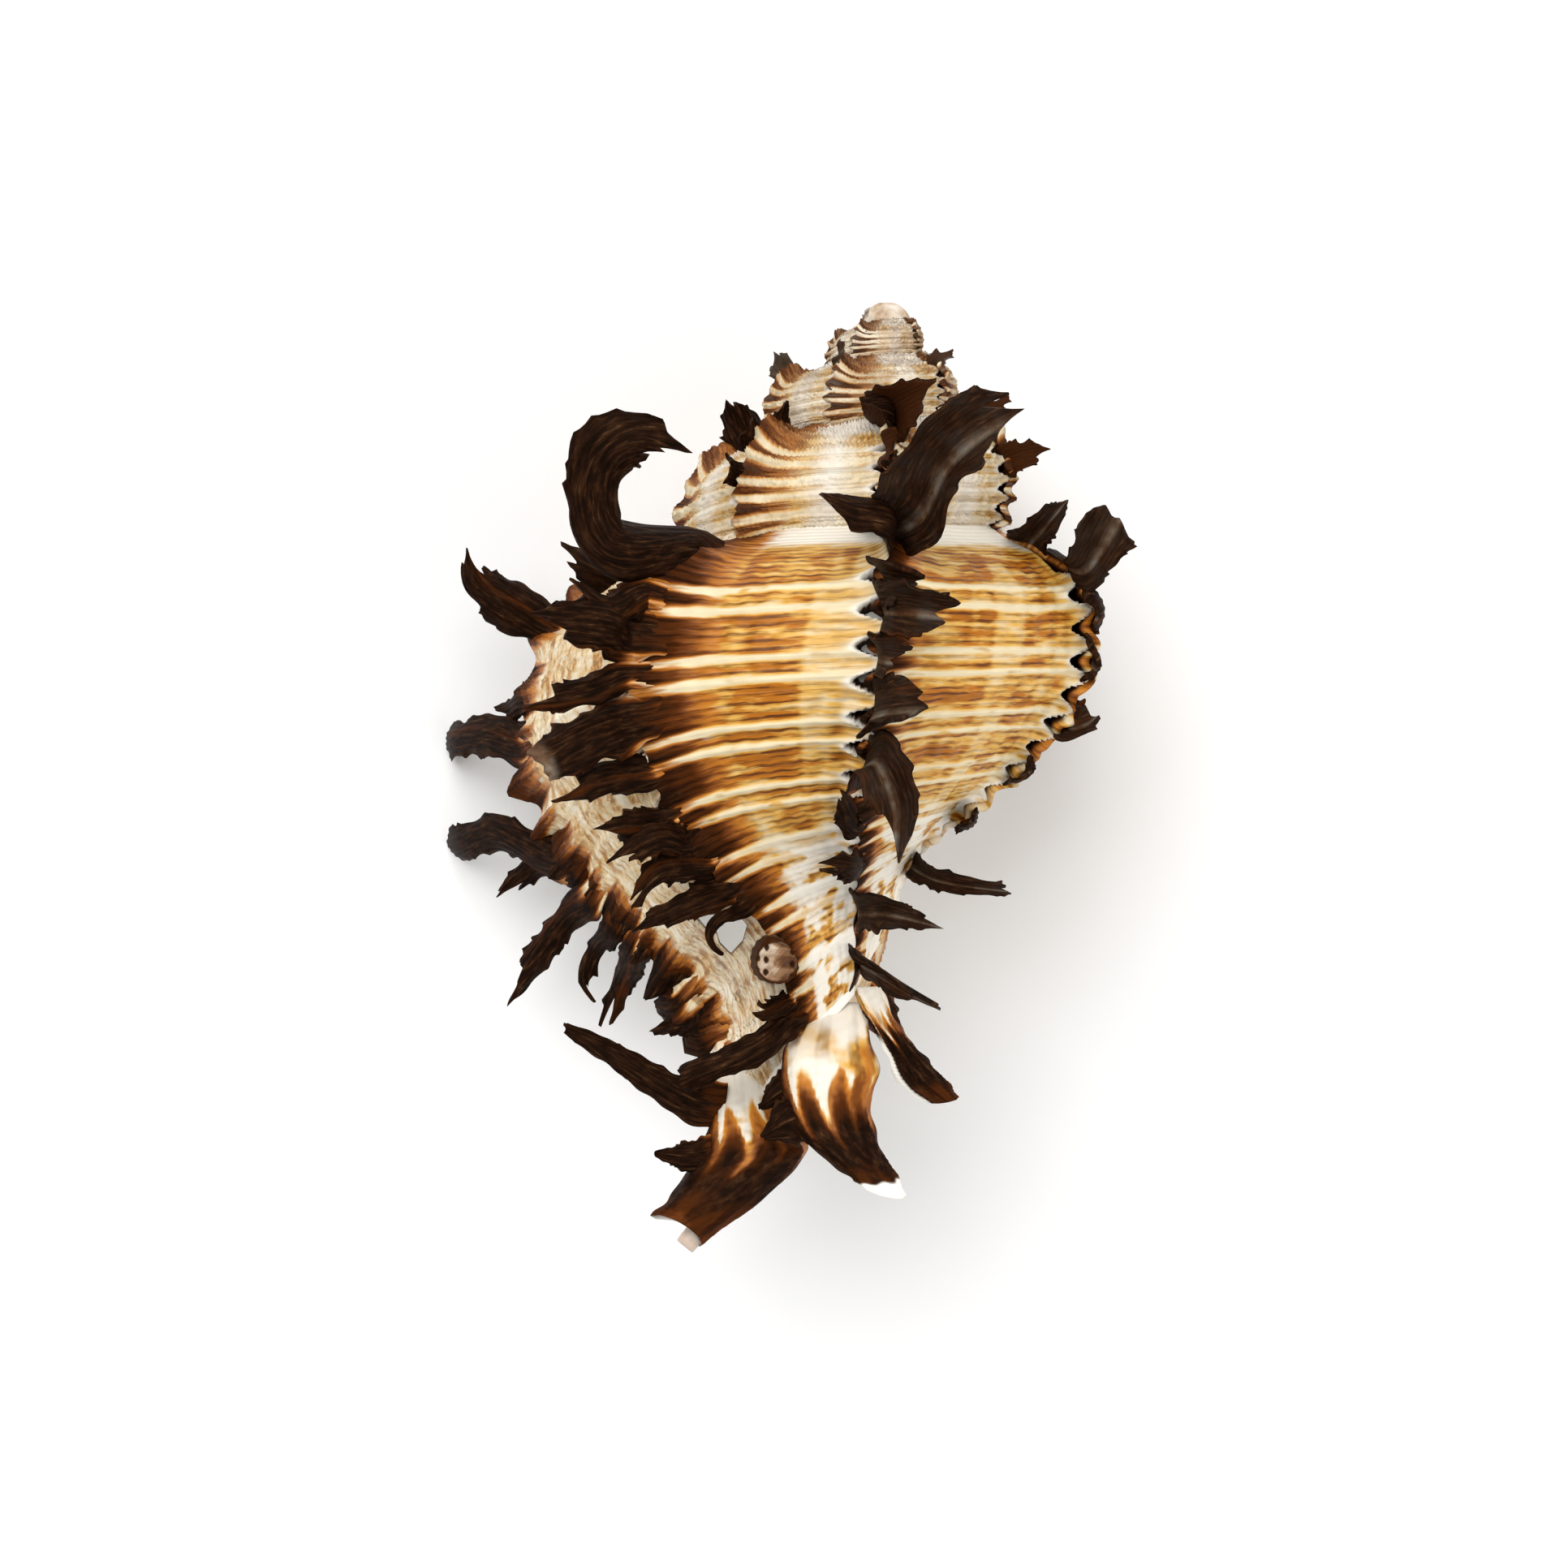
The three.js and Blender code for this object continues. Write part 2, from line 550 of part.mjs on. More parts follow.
function wholeShell() {
  const neckRow = section.length - 1;
  let shell = core();
  for (let from = lastTurnStart; from < lipAngle; from += stretchLength) {
    shell = shell.add(whorlStretch(stretchAngles(from, from + stretchLength, lastTurnStep), neckRow));
  }
  for (let from = oldestAngle; from < lastTurnStart; from += stretchLength) {
    shell = shell.add(whorlStretch(stretchAngles(from, from + stretchLength, spireStep), bulgeRow));
  }
  shell = shell.subtract(mouthHollow()).subtract(gapBesideNeck());
  const growths = [
    ...lipFronds.map((one) => frond(lipAngle - 2, one)),
    ...leftFronds.map((one) => frond(138, one)),
    ...topFronds.map((one) => frond(87, one)),
    ...rightFronds.map((one) => frond(28, one)),
    ...lowerRightFronds.map((one) => frond(-36, one)),
    ...underFronds.map((one) => frond(-88, one)),
    ...plainFronds.flatMap(({ varix, drops, length, width }) =>
      drops.map((drop) => shortFrond(varix, drop, length, width))),
    ...canals.map(canal),
    ...canalSpines.map(({ points, widths }) =>
      frondAlong(points.map((point) => new THREE.Vector3(...point)), upward, widths, spineRings)),
  ];
  for (const growth of growths) {
    shell = shell.add(growth);
  }
  return shell.subtract(tableBlock());
}

function meshFrom(name, solid, colour) {
  const { vertProperties, triVerts } = solid.getMesh();
  const geometry = new THREE.BufferGeometry();
  geometry.setAttribute('position', new THREE.BufferAttribute(new Float32Array(vertProperties), 3));
  geometry.setIndex(new THREE.BufferAttribute(new Uint32Array(triVerts), 1));
  geometry.computeVertexNormals();
  const mesh = new THREE.Mesh(geometry, new THREE.MeshStandardMaterial({
    color: colour, roughness: 0.55, metalness: 0,
  }));
  mesh.name = name;
  return mesh;
}

const object = new THREE.Group();
object.add(meshFrom('shell', wholeShell(), shellColour));
export default object;
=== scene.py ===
# %% [markdown]
# # An endive murex shell
# A sea snail builds its shell at the lip only, a little more each day. The lip runs round an axis
# and grows by the same factor in every turn, so the whole shell is one formula: a section, turned
# and enlarged. Every few months the snail rests, and then it folds the lip into leafy fronds.
# The cells follow it: the growth formula, its colours, then panels, fronds, canals and the mouth.

# %% Load the frame
from functools import reduce

import bpy
import numpy as np
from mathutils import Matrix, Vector


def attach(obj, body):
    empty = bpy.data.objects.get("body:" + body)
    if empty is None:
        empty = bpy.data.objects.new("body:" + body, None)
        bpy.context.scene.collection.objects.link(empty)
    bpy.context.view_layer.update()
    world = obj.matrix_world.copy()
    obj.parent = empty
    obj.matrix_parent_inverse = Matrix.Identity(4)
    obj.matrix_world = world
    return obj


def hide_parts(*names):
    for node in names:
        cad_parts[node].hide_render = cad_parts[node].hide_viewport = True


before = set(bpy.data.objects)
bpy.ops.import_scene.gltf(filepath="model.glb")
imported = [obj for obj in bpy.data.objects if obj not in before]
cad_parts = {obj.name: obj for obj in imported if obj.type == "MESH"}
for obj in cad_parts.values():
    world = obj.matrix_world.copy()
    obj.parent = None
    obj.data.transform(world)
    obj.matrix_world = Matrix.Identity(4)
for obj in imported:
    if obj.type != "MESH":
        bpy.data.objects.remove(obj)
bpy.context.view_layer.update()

# %% [markdown]
# ## The camera and the light
# The shell was photographed from straight above, from far away, so a long lens is right: there is
# hardly any perspective in it. The picture is 144.9 mm wide at the middle height of the shell.
# One large soft lamp stands on the spire side, a weaker one opposite, and the floor is pale.

# %% Camera
middle_height = 0.020
camera_distance = 1.2075
camera_data = bpy.data.cameras.new("camera")
camera_data.lens = 300
camera_data.sensor_width = 36
camera_data.clip_start = 0.05
camera_data.clip_end = 20
camera = bpy.data.objects.new("camera", camera_data)
camera.location = (0, 0, middle_height + camera_distance)
bpy.context.scene.collection.objects.link(camera)
bpy.context.scene.camera = camera

# %% Lamps and world


def add_lamp(name, place_at, size, energy):
    """A square soft lamp that shines at the shell from place_at."""
    data = bpy.data.lights.new(name, "AREA")
    data.size = size
    data.energy = energy
    lamp = bpy.data.objects.new(name, data)
    lamp.location = place_at
    aim = np.array([0, 0, middle_height]) - place_at
    lamp.rotation_euler = Vector(aim).to_track_quat("-Z", "Y").to_euler()
    bpy.context.scene.collection.objects.link(lamp)


add_lamp("key_lamp", np.array([-0.9, 1.7, 3.0]), size=3.2, energy=118)
add_lamp("side_lamp", np.array([2.0, -1.3, 2.2]), size=3.0, energy=44)
world = bpy.data.worlds.new("studio")
bpy.context.scene.world = world
world.use_nodes = True
background = world.node_tree.nodes["Background"].inputs
background["Color"].default_value = (1.0, 1.0, 0.99, 1)
background["Strength"].default_value = 0.5
bpy.context.scene.view_settings.view_transform = "Standard"

# %% [markdown]
# ## The growth formula
# An angle says how far the snail had grown: 0 is to the right, 90 on top, 180 to the left, and the
# newest lip is at 197 degrees. The size at an angle is 1.7 to the power of the turns. Lengths are
# in millimetres here, and become metres when a mesh is made.

# %% Axis and size
growth_per_turn = 1.7
spiral_start = np.array([10.0, 47.7, 19.6])
lean, droop = np.radians([5.3, 4.6])
rightward = np.array([np.cos(lean), -np.sin(lean), 0.0])
spireward = np.array([np.sin(lean) * np.cos(droop), np.cos(lean) * np.cos(droop), -np.sin(droop)])
upward = np.cross(rightward, spireward)
lip_angle = 197.0


def size_at(angle):
    """Size at an angle of growth: the growth of one turn to the power of the turns."""
    return growth_per_turn ** (np.asarray(angle, float) / 360)


def slimness(angle):
    """The first turns are slimmer than the formula: the share of the radius, which falls by a sixth
    in every turn before the angle -600."""
    return 0.83 ** (np.clip(-600 - np.asarray(angle, float), 0, None) / 360)


def direction(angle):
    """Unit vectors away from the axis: rightward times cosine plus upward times sine."""
    turn = np.radians(np.asarray(angle, float))[..., None]
    return rightward * np.cos(turn) + upward * np.sin(turn)


def place(radius, angle, drop):
    """Points at a distance from the axis, an angle, and a distance below the spiral's start."""
    radius, drop = (np.asarray(x, float)[..., None] for x in (radius, drop))
    return spiral_start + radius * direction(angle) - drop * spireward


# %% Smooth curves


def smooth(knots, values, at):
    """Curve through the values at the knots: cubic pieces, whose slope at a knot is the slope
    between its neighbours. Past the ends it keeps the end values."""
    knots, values, at = (np.asarray(x, float) for x in (knots, values, at))
    slopes = np.gradient(values, knots, axis=0)
    i = np.clip(np.searchsorted(knots, at, side="right") - 1, 0, len(knots) - 2)
    width = knots[i + 1] - knots[i]
    t = np.clip((at - knots[i]) / width, 0, 1)
    if values.ndim > 1:
        width, t = width[..., None], t[..., None]
    rest = 1 - t
    ends = values[i] * rest * rest * (1 + 2 * t) + values[i + 1] * t * t * (1 + 2 * rest)
    return ends + width * t * rest * (rest * slopes[i] - t * slopes[i + 1])


def through(values, count):
    """A smooth curve through numbered values, at even steps from the first to the last."""
    return smooth(np.arange(len(values)), values, np.linspace(0, len(values) - 1, count))


def closed_through(points, count):
    """A smooth closed curve through numbered points, at even steps."""
    padded = np.concatenate([points[-3:], points, points[:3]])
    return smooth(np.arange(len(padded)) - 3.0, padded, np.linspace(0, len(points), count, endpoint=False))


def ease(low, high, x):
    """0 below low, 1 above high, and an S-shaped rise between."""
    t = np.clip((x - low) / (high - low), 0, 1)
    return t * t * (3 - 2 * t)


def even_turns(count):
    """Angles round a ring, as one row."""
    return np.linspace(0, 2 * np.pi, count, endpoint=False)[None, :]


def unit(vectors):
    return vectors / np.maximum(np.linalg.norm(vectors, axis=-1, keepdims=True), 1e-12)


# %% [markdown]
# ## The section
# The section of a turn runs from the suture, where it meets the turn before, over the shoulder and
# the belly to the end of the neck. We name a point on it by its distance along the section at
# size 1, because the spiral cords and coloured bands keep that distance as the shell grows.

# %% Section
section = np.array([
    [9.0, 20.3], [13.5, 23.7], [17.4, 25.6], [20.3, 28.4], [21.3, 32.8], [20.9, 36.5],
    [19.0, 39.7], [15.8, 43.6], [10.6, 48.0], [7.0, 51.4], [5.7, 54.5], [5.4, 60.0],
])
section_steps = np.hypot(*np.diff(section, axis=0).T)
section_along = np.concatenate([[0], np.cumsum(section_steps)]) - section_steps[0]
neck_along = section_along[-1]
varix_share = [0, 0.1, 0.7, 1, 1, 1, 1, 0.9, 0.7, 0.4, 0.2, 0.1]
lip_share = [0, 0.1, 0.6, 1, 1, 1, 1, 1, 1.1, 1.1, 0.9, 0.4]
retreat_degrees = [0, 0, 0, 0, 0, 0, 0, 0, 4, 10, 16, 26]
climb_share = [1, 1, 0.6, 0.3, 0, 0, 0, 0, 0, 0, 0, 0]
climb_at_lip = 2.1
print("the section is", round(float(neck_along), 1), "mm long from suture to neck")


def along_of(drop):
    """Distance along the section where it reaches a drop, at size 1."""
    return float(np.interp(drop, section[:, 1], section_along))


def shell_point(along, angle, lift):
    """Points of the shell: the section's point at `along`, lifted along its outward normal, enlarged
    by the size at the angle, and turned there. On the neck the growth lines run back a little."""
    size = size_at(angle)
    corner = smooth(section_along, section, along)
    tangent = unit(smooth(section_along, section, along + 0.4) - smooth(section_along, section, along - 0.4))
    climb = climb_at_lip * (np.clip(angle, 0, None) / lip_angle) ** 1.5
    radius = (corner[..., 0] * size + tangent[..., 1] * lift) * slimness(angle)
    drop = corner[..., 1] * size - tangent[..., 0] * lift
    drop = drop - climb * np.interp(along, section_along, climb_share)
    return place(radius, angle - smooth(section_along, retreat_degrees, along), drop)


# %% [markdown]
# Along the section a pattern repeats: a broad brown band, a white cord, a thin band and a second
# cord. The same pattern decides where fronds stand, so colour and relief agree on the real shell.

# %% Bands and cords
band_spacing = 5.4
first_band = 6.2
open_varices = (28,)


def band_phase(along):
    """Where in the pattern a line lies: 0 in the middle of a broad band, 0.5 in a thin one. Near
    the suture the first broad band goes on."""
    return (np.maximum(along, first_band) - first_band) / band_spacing % 1


def scallop(along):
    """1 where a brown band makes a frond, 0 at the white cords between, and 0.75 at thin bands."""
    return smooth([0, 0.34, 0.5, 0.66, 1], [1, 0, 0.75, 0, 1], band_phase(along))


def cord_height(along):
    """Two raised white cords beside each thin band, as narrow bell curves of the phase."""
    phase = band_phase(along)
    return np.exp(-(((phase - 0.34) / 0.05) ** 2)) + np.exp(-(((phase - 0.66) / 0.05) ** 2))


def climbs(along, varix):
    """1 where the new shell climbs the old lip in a white point, and 0 in the dark hollows between.
    The points stand in the bands, but at the varix on the right the bands end in open cups."""
    wave = 0.5 + 0.5 * np.cos(4 * np.pi * band_phase(along))
    return 1 - wave if varix in open_varices else wave


def on_neck(along):
    """0 on the belly and 1 on the neck, where cords and bands fade and the shell is white."""
    return ease(24, 33, along)


# %% [markdown]
# ## From arrays to a mesh
# Every surface here is a grid of points, in rings. Two open edges with different numbers of points
# are joined by a strip of triangles, so each piece is closed. Each point also carries numbers that
# say how the shell grew there and where shade is painted, and the material reads its colour from them.

# %% Mesh helpers
shell_pieces = []
floor_clearance = 0.02
value_names = ("line", "grow", "toward", "pale", "hollow", "inside", "worn", "old")


def point_values(shape, **given):
    """Numbers for every point of a grid. One that isn't given is 0 everywhere."""
    return {name: np.broadcast_to(given.get(name, 0.0), shape) for name in value_names}


def strip_faces(first, second):
    """Triangles between two rows of points: each edge of one row goes to the nearest point, by
    share of the length, of the other row."""
    n, m = len(first), len(second)
    nearest = np.rint((np.arange(n - 1) + 0.5) / (n - 1) * (m - 1)).astype(int)
    change = np.searchsorted(nearest, np.arange(m - 1), side="right")
    one = np.stack([first[:-1], first[1:], second[nearest]], -1)
    two = np.stack([second[1:], second[:-1], first[change]], -1)
    return np.concatenate([one, two])


def ring_faces(rows, columns, split=None):
    """Four-sided faces between rings of points. The last ring joins the first, but with `split`
    strips close the first and the last ring instead, each between its two sides."""
    ids = np.arange(rows * columns).reshape(rows, columns)
    rings = np.concatenate([ids, ids[:, :1]], 1)
    rings = np.concatenate([rings, rings[:1]]) if split is None else rings
    quads = np.stack([rings[:-1, :-1], rings[:-1, 1:], rings[1:, 1:], rings[1:, :-1]], -1).reshape(-1, 4)
    if split is None:
        return quads, np.zeros((0, 3), int)
    first = strip_faces(ids[0, :split][::-1], ids[0, split:])
    return quads, np.concatenate([first, strip_faces(ids[-1, :split], ids[-1, split:][::-1])])


def make_piece(name, points, faces, values):
    """A closed mesh from points in millimetres. Faces that would point inwards are turned, by the
    sign of the volume. Its material, banded_shell, is made further on."""
    points = np.asarray(points, float).reshape(-1, 3)
    points[:, 2] = np.maximum(points[:, 2], floor_clearance)
    quads, triangles = faces
    corners = np.concatenate([quads[:, [0, 1, 2]], quads[:, [0, 2, 3]], triangles])
    a, b, c = (points[corners[:, i]] for i in range(3))
    if np.einsum("ij,ij->", a, np.cross(b, c)) < 0:
        quads, triangles = quads[:, ::-1], triangles[:, ::-1]
    corners = np.concatenate([quads.ravel(), triangles.ravel()]).astype(np.int32)
    counts = np.concatenate([np.full(len(quads), 4), np.full(len(triangles), 3)])
    starts = np.concatenate([[0], np.cumsum(counts)[:-1]]).astype(np.int32)
    mesh = bpy.data.meshes.new(name)
    mesh.vertices.add(len(points))
    mesh.vertices.foreach_set("co", (points / 1000).astype(np.float32).ravel())
    mesh.loops.add(len(corners))
    mesh.loops.foreach_set("vertex_index", corners)
    mesh.polygons.add(len(counts))
    mesh.polygons.foreach_set("loop_start", starts)
    mesh.update(calc_edges=True)
    mesh.polygons.foreach_set("use_smooth", np.ones(len(counts), bool))
    for key, numbers in values.items():
        attribute = mesh.attributes.new(key, "FLOAT", "POINT")
        attribute.data.foreach_set("value", np.asarray(numbers, np.float32).ravel())
    mesh.materials.append(banded_shell)
    piece = bpy.data.objects.new(name, mesh)
    bpy.context.scene.collection.objects.link(piece)
    shell_pieces.append(piece)
    print(f"{name}: {2 * len(quads) + len(triangles)} triangles")


def join_meshes(parts):
    """Several (points, faces, values) as one, with the numbers of the faces moved on."""
    points = [part[0].reshape(-1, 3) for part in parts]
    offsets = np.cumsum([0, *map(len, points[:-1])])
    faces = [np.concatenate([part[1][i] + offset for part, offset in zip(parts, offsets)]) for i in (0, 1)]
    values = {key: np.concatenate([part[2][key].ravel() for part in parts]) for key in value_names}
    return np.concatenate(points), faces, values


# %% [markdown]
# ## Writing node trees
# A node tree is easier to read as formulas. This small class adds one node for each call, and a
# value may be a number, a colour or the output of another node.

# %% Node helper


class Nodes:
    """Adds nodes to a tree. A method that makes a value returns the output that holds it."""

    def __init__(self, tree):
        self.tree = tree

    def add(self, kind, **settings):
        node = self.tree.nodes.new(kind)
        for key, value in settings.items():
            setattr(node, key, value)
        return node

    def feed(self, socket, value):
        if isinstance(value, bpy.types.NodeSocket):
            self.tree.links.new(value, socket)
        else:
            socket.default_value = value

    def math(self, operation, *values):
        node = self.add("ShaderNodeMath", operation=operation)
        for socket, value in zip(node.inputs, values):
            self.feed(socket, value)
        return node.outputs[0]

    def times(self, *values):
        return reduce(lambda one, two: self.math("MULTIPLY", one, two), values)

    def plus(self, *values):
        return reduce(lambda one, two: self.math("ADD", one, two), values)

    def less(self, share, value):
        """1, less a share of the value."""
        return self.plus(1.0, self.times(value, -share))

    def around(self, noise, spread):
        """A noise value moved to lie around 0, times the spread."""
        return self.times(self.plus(noise, -0.5), spread)

    def clamp(self, value):
        return self.math("MINIMUM", self.math("MAXIMUM", value, 0.0), 1.0)

    def step(self, value, low, high):
        node = self.add("ShaderNodeMapRange", interpolation_type="SMOOTHSTEP")
        for key, number in (("Value", value), ("From Min", low), ("From Max", high)):
            self.feed(node.inputs[key], number)
        return node.outputs[0]

    def mix(self, share, first, second):
        node = self.add("ShaderNodeMix", data_type="RGBA")
        self.feed(node.inputs[0], share)
        self.feed(node.inputs[6], first)
        self.feed(node.inputs[7], second)
        return node.outputs[2]

    def ramp(self, value, stops):
        node = self.add("ShaderNodeValToRGB")
        self.feed(node.inputs[0], value)
        elements = node.color_ramp.elements
        while len(elements) < len(stops):
            elements.new(0.5)
        for element, (position, colour) in zip(elements, stops):
            element.position = position
            element.color = colour if hasattr(colour, "__len__") else (colour, colour, colour, 1)
        return node.outputs[0]

    def attribute(self, name):
        return self.add("ShaderNodeAttribute", attribute_name=name).outputs["Fac"]

    def vector(self, x, y, z=0.0):
        node = self.add("ShaderNodeCombineXYZ")
        for socket, value in zip(node.inputs, (x, y, z)):
            self.feed(socket, value)
        return node.outputs[0]

    def noise(self, vector, scale, detail=2.0, roughness=0.5):
        node = self.add("ShaderNodeTexNoise")
        for key, value in (("Vector", vector), ("Scale", scale), ("Detail", detail), ("Roughness", roughness)):
            self.feed(node.inputs[key], value)
        return node.outputs[0]


def colour(red, green, blue):
    """A colour given as the usual 0 to 255 screen values, made linear."""
    screen = np.array([red, green, blue]) / 255
    linear = np.where(screen <= 0.04045, screen / 12.92, ((screen + 0.055) / 1.055) ** 2.4)
    return (*[float(x) for x in linear], 1.0)


# %% [markdown]
# ## Colours of growth
# All colour comes out of the lip in lines that run along growth. Four or five fine brown lines make
# a broad golden band, a thinner band lies between two white cords, and the lines break up into
# dashes as the snail pauses. Towards a varix the bands turn chocolate brown, and just after it the
# shell starts white again. One group holds this, because panels, fronds and canals all use it.
# It reads how far along the section (line) and along growth (grow) a point lies, in millimetres,
# and it paints shade where a point lies in a hollow.

# %% The growth colours group
cream = colour(234, 219, 182)
pale_gold = colour(223, 174, 84)
gold = colour(180, 106, 18)
line_brown = colour(94, 45, 6)
chocolate = colour(42, 18, 6)
# The next colour is painted shade: the near black of deep hollows.
near_black = colour(17, 8, 4)
milk = colour(246, 242, 232)
lines_per_band = 9

growth_group = bpy.data.node_groups.new("growth_colours", "ShaderNodeTree")
group_inputs = ("Line", "Grow", "Toward", "Pale", "Hollow", "Worn", "Old")
for label in group_inputs:
    growth_group.interface.new_socket(label, in_out="INPUT", socket_type="NodeSocketFloat")
for label, kind in (("Colour", "NodeSocketColor"), ("Dark", "NodeSocketFloat"), ("Height", "NodeSocketFloat")):
    growth_group.interface.new_socket(label, in_out="OUTPUT", socket_type=kind)

n = Nodes(growth_group)
given = n.add("NodeGroupInput").outputs
line, grow, toward, pale, hollow, worn, old = (given[label] for label in group_inputs)
in_object = n.add("ShaderNodeTexCoord").outputs["Object"]


def drawn_out(per_grow, per_line, offset, detail, roughness=0.5):
    """Noise with one scale along growth and another across the lines, for each millimetre."""
    vector = n.vector(n.times(grow, per_grow), n.times(line, per_line), offset)
    return n.noise(vector, 1.0, detail, roughness)


# The pattern: bands of fine lines, which wander, break up and pause.
wandering = n.plus(line, n.around(drawn_out(0.13, 0.35, 0.0, 2.0), 0.55))
past_first = n.math("MAXIMUM", n.plus(wandering, -first_band), 0.0)
phase = n.math("FRACT", n.math("DIVIDE", past_first, band_spacing))
band = n.ramp(phase, [(0.0, 1.0), (0.26, 0.95), (0.31, 0.08), (0.365, 0.05), (0.41, 0.75), (0.5, 0.9),
                      (0.59, 0.75), (0.635, 0.05), (0.69, 0.08), (0.74, 0.95), (1.0, 1.0)])
fine = n.math("SINE", n.times(wandering, 2 * np.pi * lines_per_band / band_spacing))
broken = drawn_out(0.30, 2.6, 3.0, 3.0, 0.6)
fine_lines = n.times(n.step(fine, -0.25, 0.65), n.step(broken, 0.36, 0.58))
dashes = drawn_out(0.22, 0.9, 7.0, 3.0, 0.55)
pauses = n.plus(drawn_out(0.28, 0.04, 11.0, 1.0), n.around(broken, 0.26))
overrun = n.step(drawn_out(0.3, 0.6, 23.0, 2.0), 0.5, 0.7)
neck = n.step(line, 25.0, 30.0)
amber = n.times(n.step(drawn_out(0.20, 0.55, 53.0, 2.5), 0.48, 0.62), neck)
strength = n.times(n.math("MAXIMUM", band, n.times(overrun, 0.45)),
                   n.plus(0.35, n.times(n.step(dashes, 0.3, 0.62), 0.75)),
                   n.less(0.5, n.step(pauses, 0.51, 0.62)))
strength = n.clamp(n.times(strength, n.less(0.97, n.times(pale, n.less(0.9, amber))), n.less(0.6, worn)))

# The ground under the lines, from milk and cream to gold.
bare = n.mix(n.times(n.step(pale, 0.4, 0.9), 0.85), cream, milk)
golden = n.math("MAXIMUM", n.step(strength, 0.05, 0.55), n.times(amber, pale, 0.75))
ground = n.mix(golden, bare, pale_gold)
ground = n.mix(n.step(strength, 0.45, 0.95), ground, gold)
ground = n.mix(n.times(n.step(dashes, 0.52, 0.72), band, strength, 0.4), ground, line_brown)
lined = n.mix(n.clamp(n.times(fine_lines, strength, 1.2)), ground, line_brown)

# Worn shell is scaly like bark, and the oldest turns are stony.
scaly = n.noise(in_object, 900.0, 4.0, 0.6)


def grained(noise, share, *stops):
    """A ramp of screen colours over a noise that is mixed with the scaly one."""
    mixed = n.plus(n.times(noise, share), n.times(scaly, 1 - share))
    return n.ramp(mixed, [(position, colour(*screen)) for position, *screen in stops])


bark = grained(drawn_out(1.1, 0.30, 5.0, 5.0, 0.65), 0.7,
               (0.42, 244, 236, 216), (0.50, 228, 202, 156), (0.57, 172, 114, 56), (0.66, 84, 46, 18))
stony = grained(n.noise(in_object, 330.0, 3.0, 0.55), 0.75,
                (0.38, 234, 226, 212), (0.48, 206, 184, 158), (0.56, 160, 124, 96), (0.66, 104, 70, 50))
lined = n.mix(n.times(worn, 0.85), lined, bark)
lined = n.mix(old, lined, stony)

# Towards a varix everything darkens in stages, last on the cords: amber, brown, chocolate, leaf.
cord_share = n.ramp(phase, [(0.0, 0.0), (0.24, 0.0), (0.31, 1.0), (0.37, 1.0), (0.43, 0.25), (0.5, 0.0),
                            (0.57, 0.25), (0.62, 1.0), (0.69, 1.0), (0.76, 0.0), (1.0, 0.0)])
ragged = drawn_out(0.22, 1.5, 31.0, 3.0, 0.6)
darkening = n.plus(n.times(toward, 1.5), n.around(ragged, 1.3), n.times(cord_share, -1.05))
darkening = n.times(darkening, n.step(toward, 0.02, 0.2))
fibres = drawn_out(0.45, 4.5, 41.0, 3.0, 0.6)
leaf = grained(fibres, 0.8, (0.38, 17, 8, 4), (0.50, 31, 15, 8), (0.61, 55, 33, 18), (0.74, 98, 70, 46))
amber_stage = n.mix(n.times(old, 1.2), n.mix(fine_lines, colour(190, 116, 34), colour(128, 66, 14)),
                    colour(150, 112, 80))
brown_stage = n.mix(old, n.mix(fine_lines, colour(118, 58, 14), line_brown), colour(96, 62, 40))
chocolate_stage = n.mix(fine_lines, colour(72, 35, 11), chocolate)
brown = lined
for low, high, stage in ((-0.05, 0.4, amber_stage), (0.3, 0.8, brown_stage),
                         (0.55, 1.05, chocolate_stage), (1.0, 1.5, leaf)):
    brown = n.mix(n.step(darkening, low, high), brown, stage)
brown = n.mix(n.times(old, n.step(darkening, 0.7, 1.2), 0.45), brown, stony)
# Painted shade in hollows, under old lips, inside fronds and in pits, and the darker brown of the broken frond's
# side: the colour goes to a dark brown, then to near black.
final = n.mix(n.step(hollow, 0.0, 0.5), brown, colour(66, 34, 14))
final = n.mix(n.step(hollow, 0.3, 1.0), final, near_black)
dark_share = n.clamp(n.plus(n.step(darkening, 0.4, 1.0), hollow))
height = n.plus(n.times(fine, n.plus(0.25, n.times(neck, -0.2))),
                n.times(scaly, n.plus(0.5, n.times(worn, 1.5))),
                n.times(pauses, 0.4), n.times(fibres, dark_share, 2.0))
outputs = n.add("NodeGroupOutput").inputs
for label, value in (("Colour", final), ("Dark", dark_share), ("Height", height)):
    n.feed(outputs[label], value)

# %% Shell material
# Inside the mouth the shell is porcelain, white and glossier. The dark fronds are duller.
bump_depth = 0.00012
banded_shell = bpy.data.materials.new("banded_shell")
banded_shell.use_nodes = True
n = Nodes(banded_shell.node_tree)
surface = banded_shell.node_tree.nodes["Principled BSDF"].inputs
growth = n.add("ShaderNodeGroup", node_tree=growth_group)
for label in group_inputs:
    n.feed(growth.inputs[label], n.attribute(label.lower()))
porcelain, dark = n.attribute("inside"), growth.outputs["Dark"]
n.feed(surface["Base Color"], n.mix(porcelain, growth.outputs["Colour"], milk))
n.feed(surface["Roughness"], n.plus(0.45, n.times(dark, 0.1), n.times(porcelain, -0.25)))
n.feed(surface["Specular IOR Level"], n.plus(0.45, n.times(dark, -0.41)))
surface["Specular Tint"].default_value = colour(255, 226, 190)
bump = n.add("ShaderNodeBump")
bump.inputs["Distance"].default_value = bump_depth
bump.inputs["Strength"].default_value = 0.8
n.feed(bump.inputs["Height"], n.times(growth.outputs["Height"], n.less(1.0, porcelain)))
n.feed(surface["Normal"], bump.outputs[0])

# %% [markdown]
# ## Panels between the varices
# The shell grows in panels. A panel starts under the lip of the one before, swells a little, and
# rises into the next varix. Its lip ends in a thin crest with a hollow front face. Each panel is a
# closed slab: a grid for its outer skin, its crest, its front face and its inner skin.

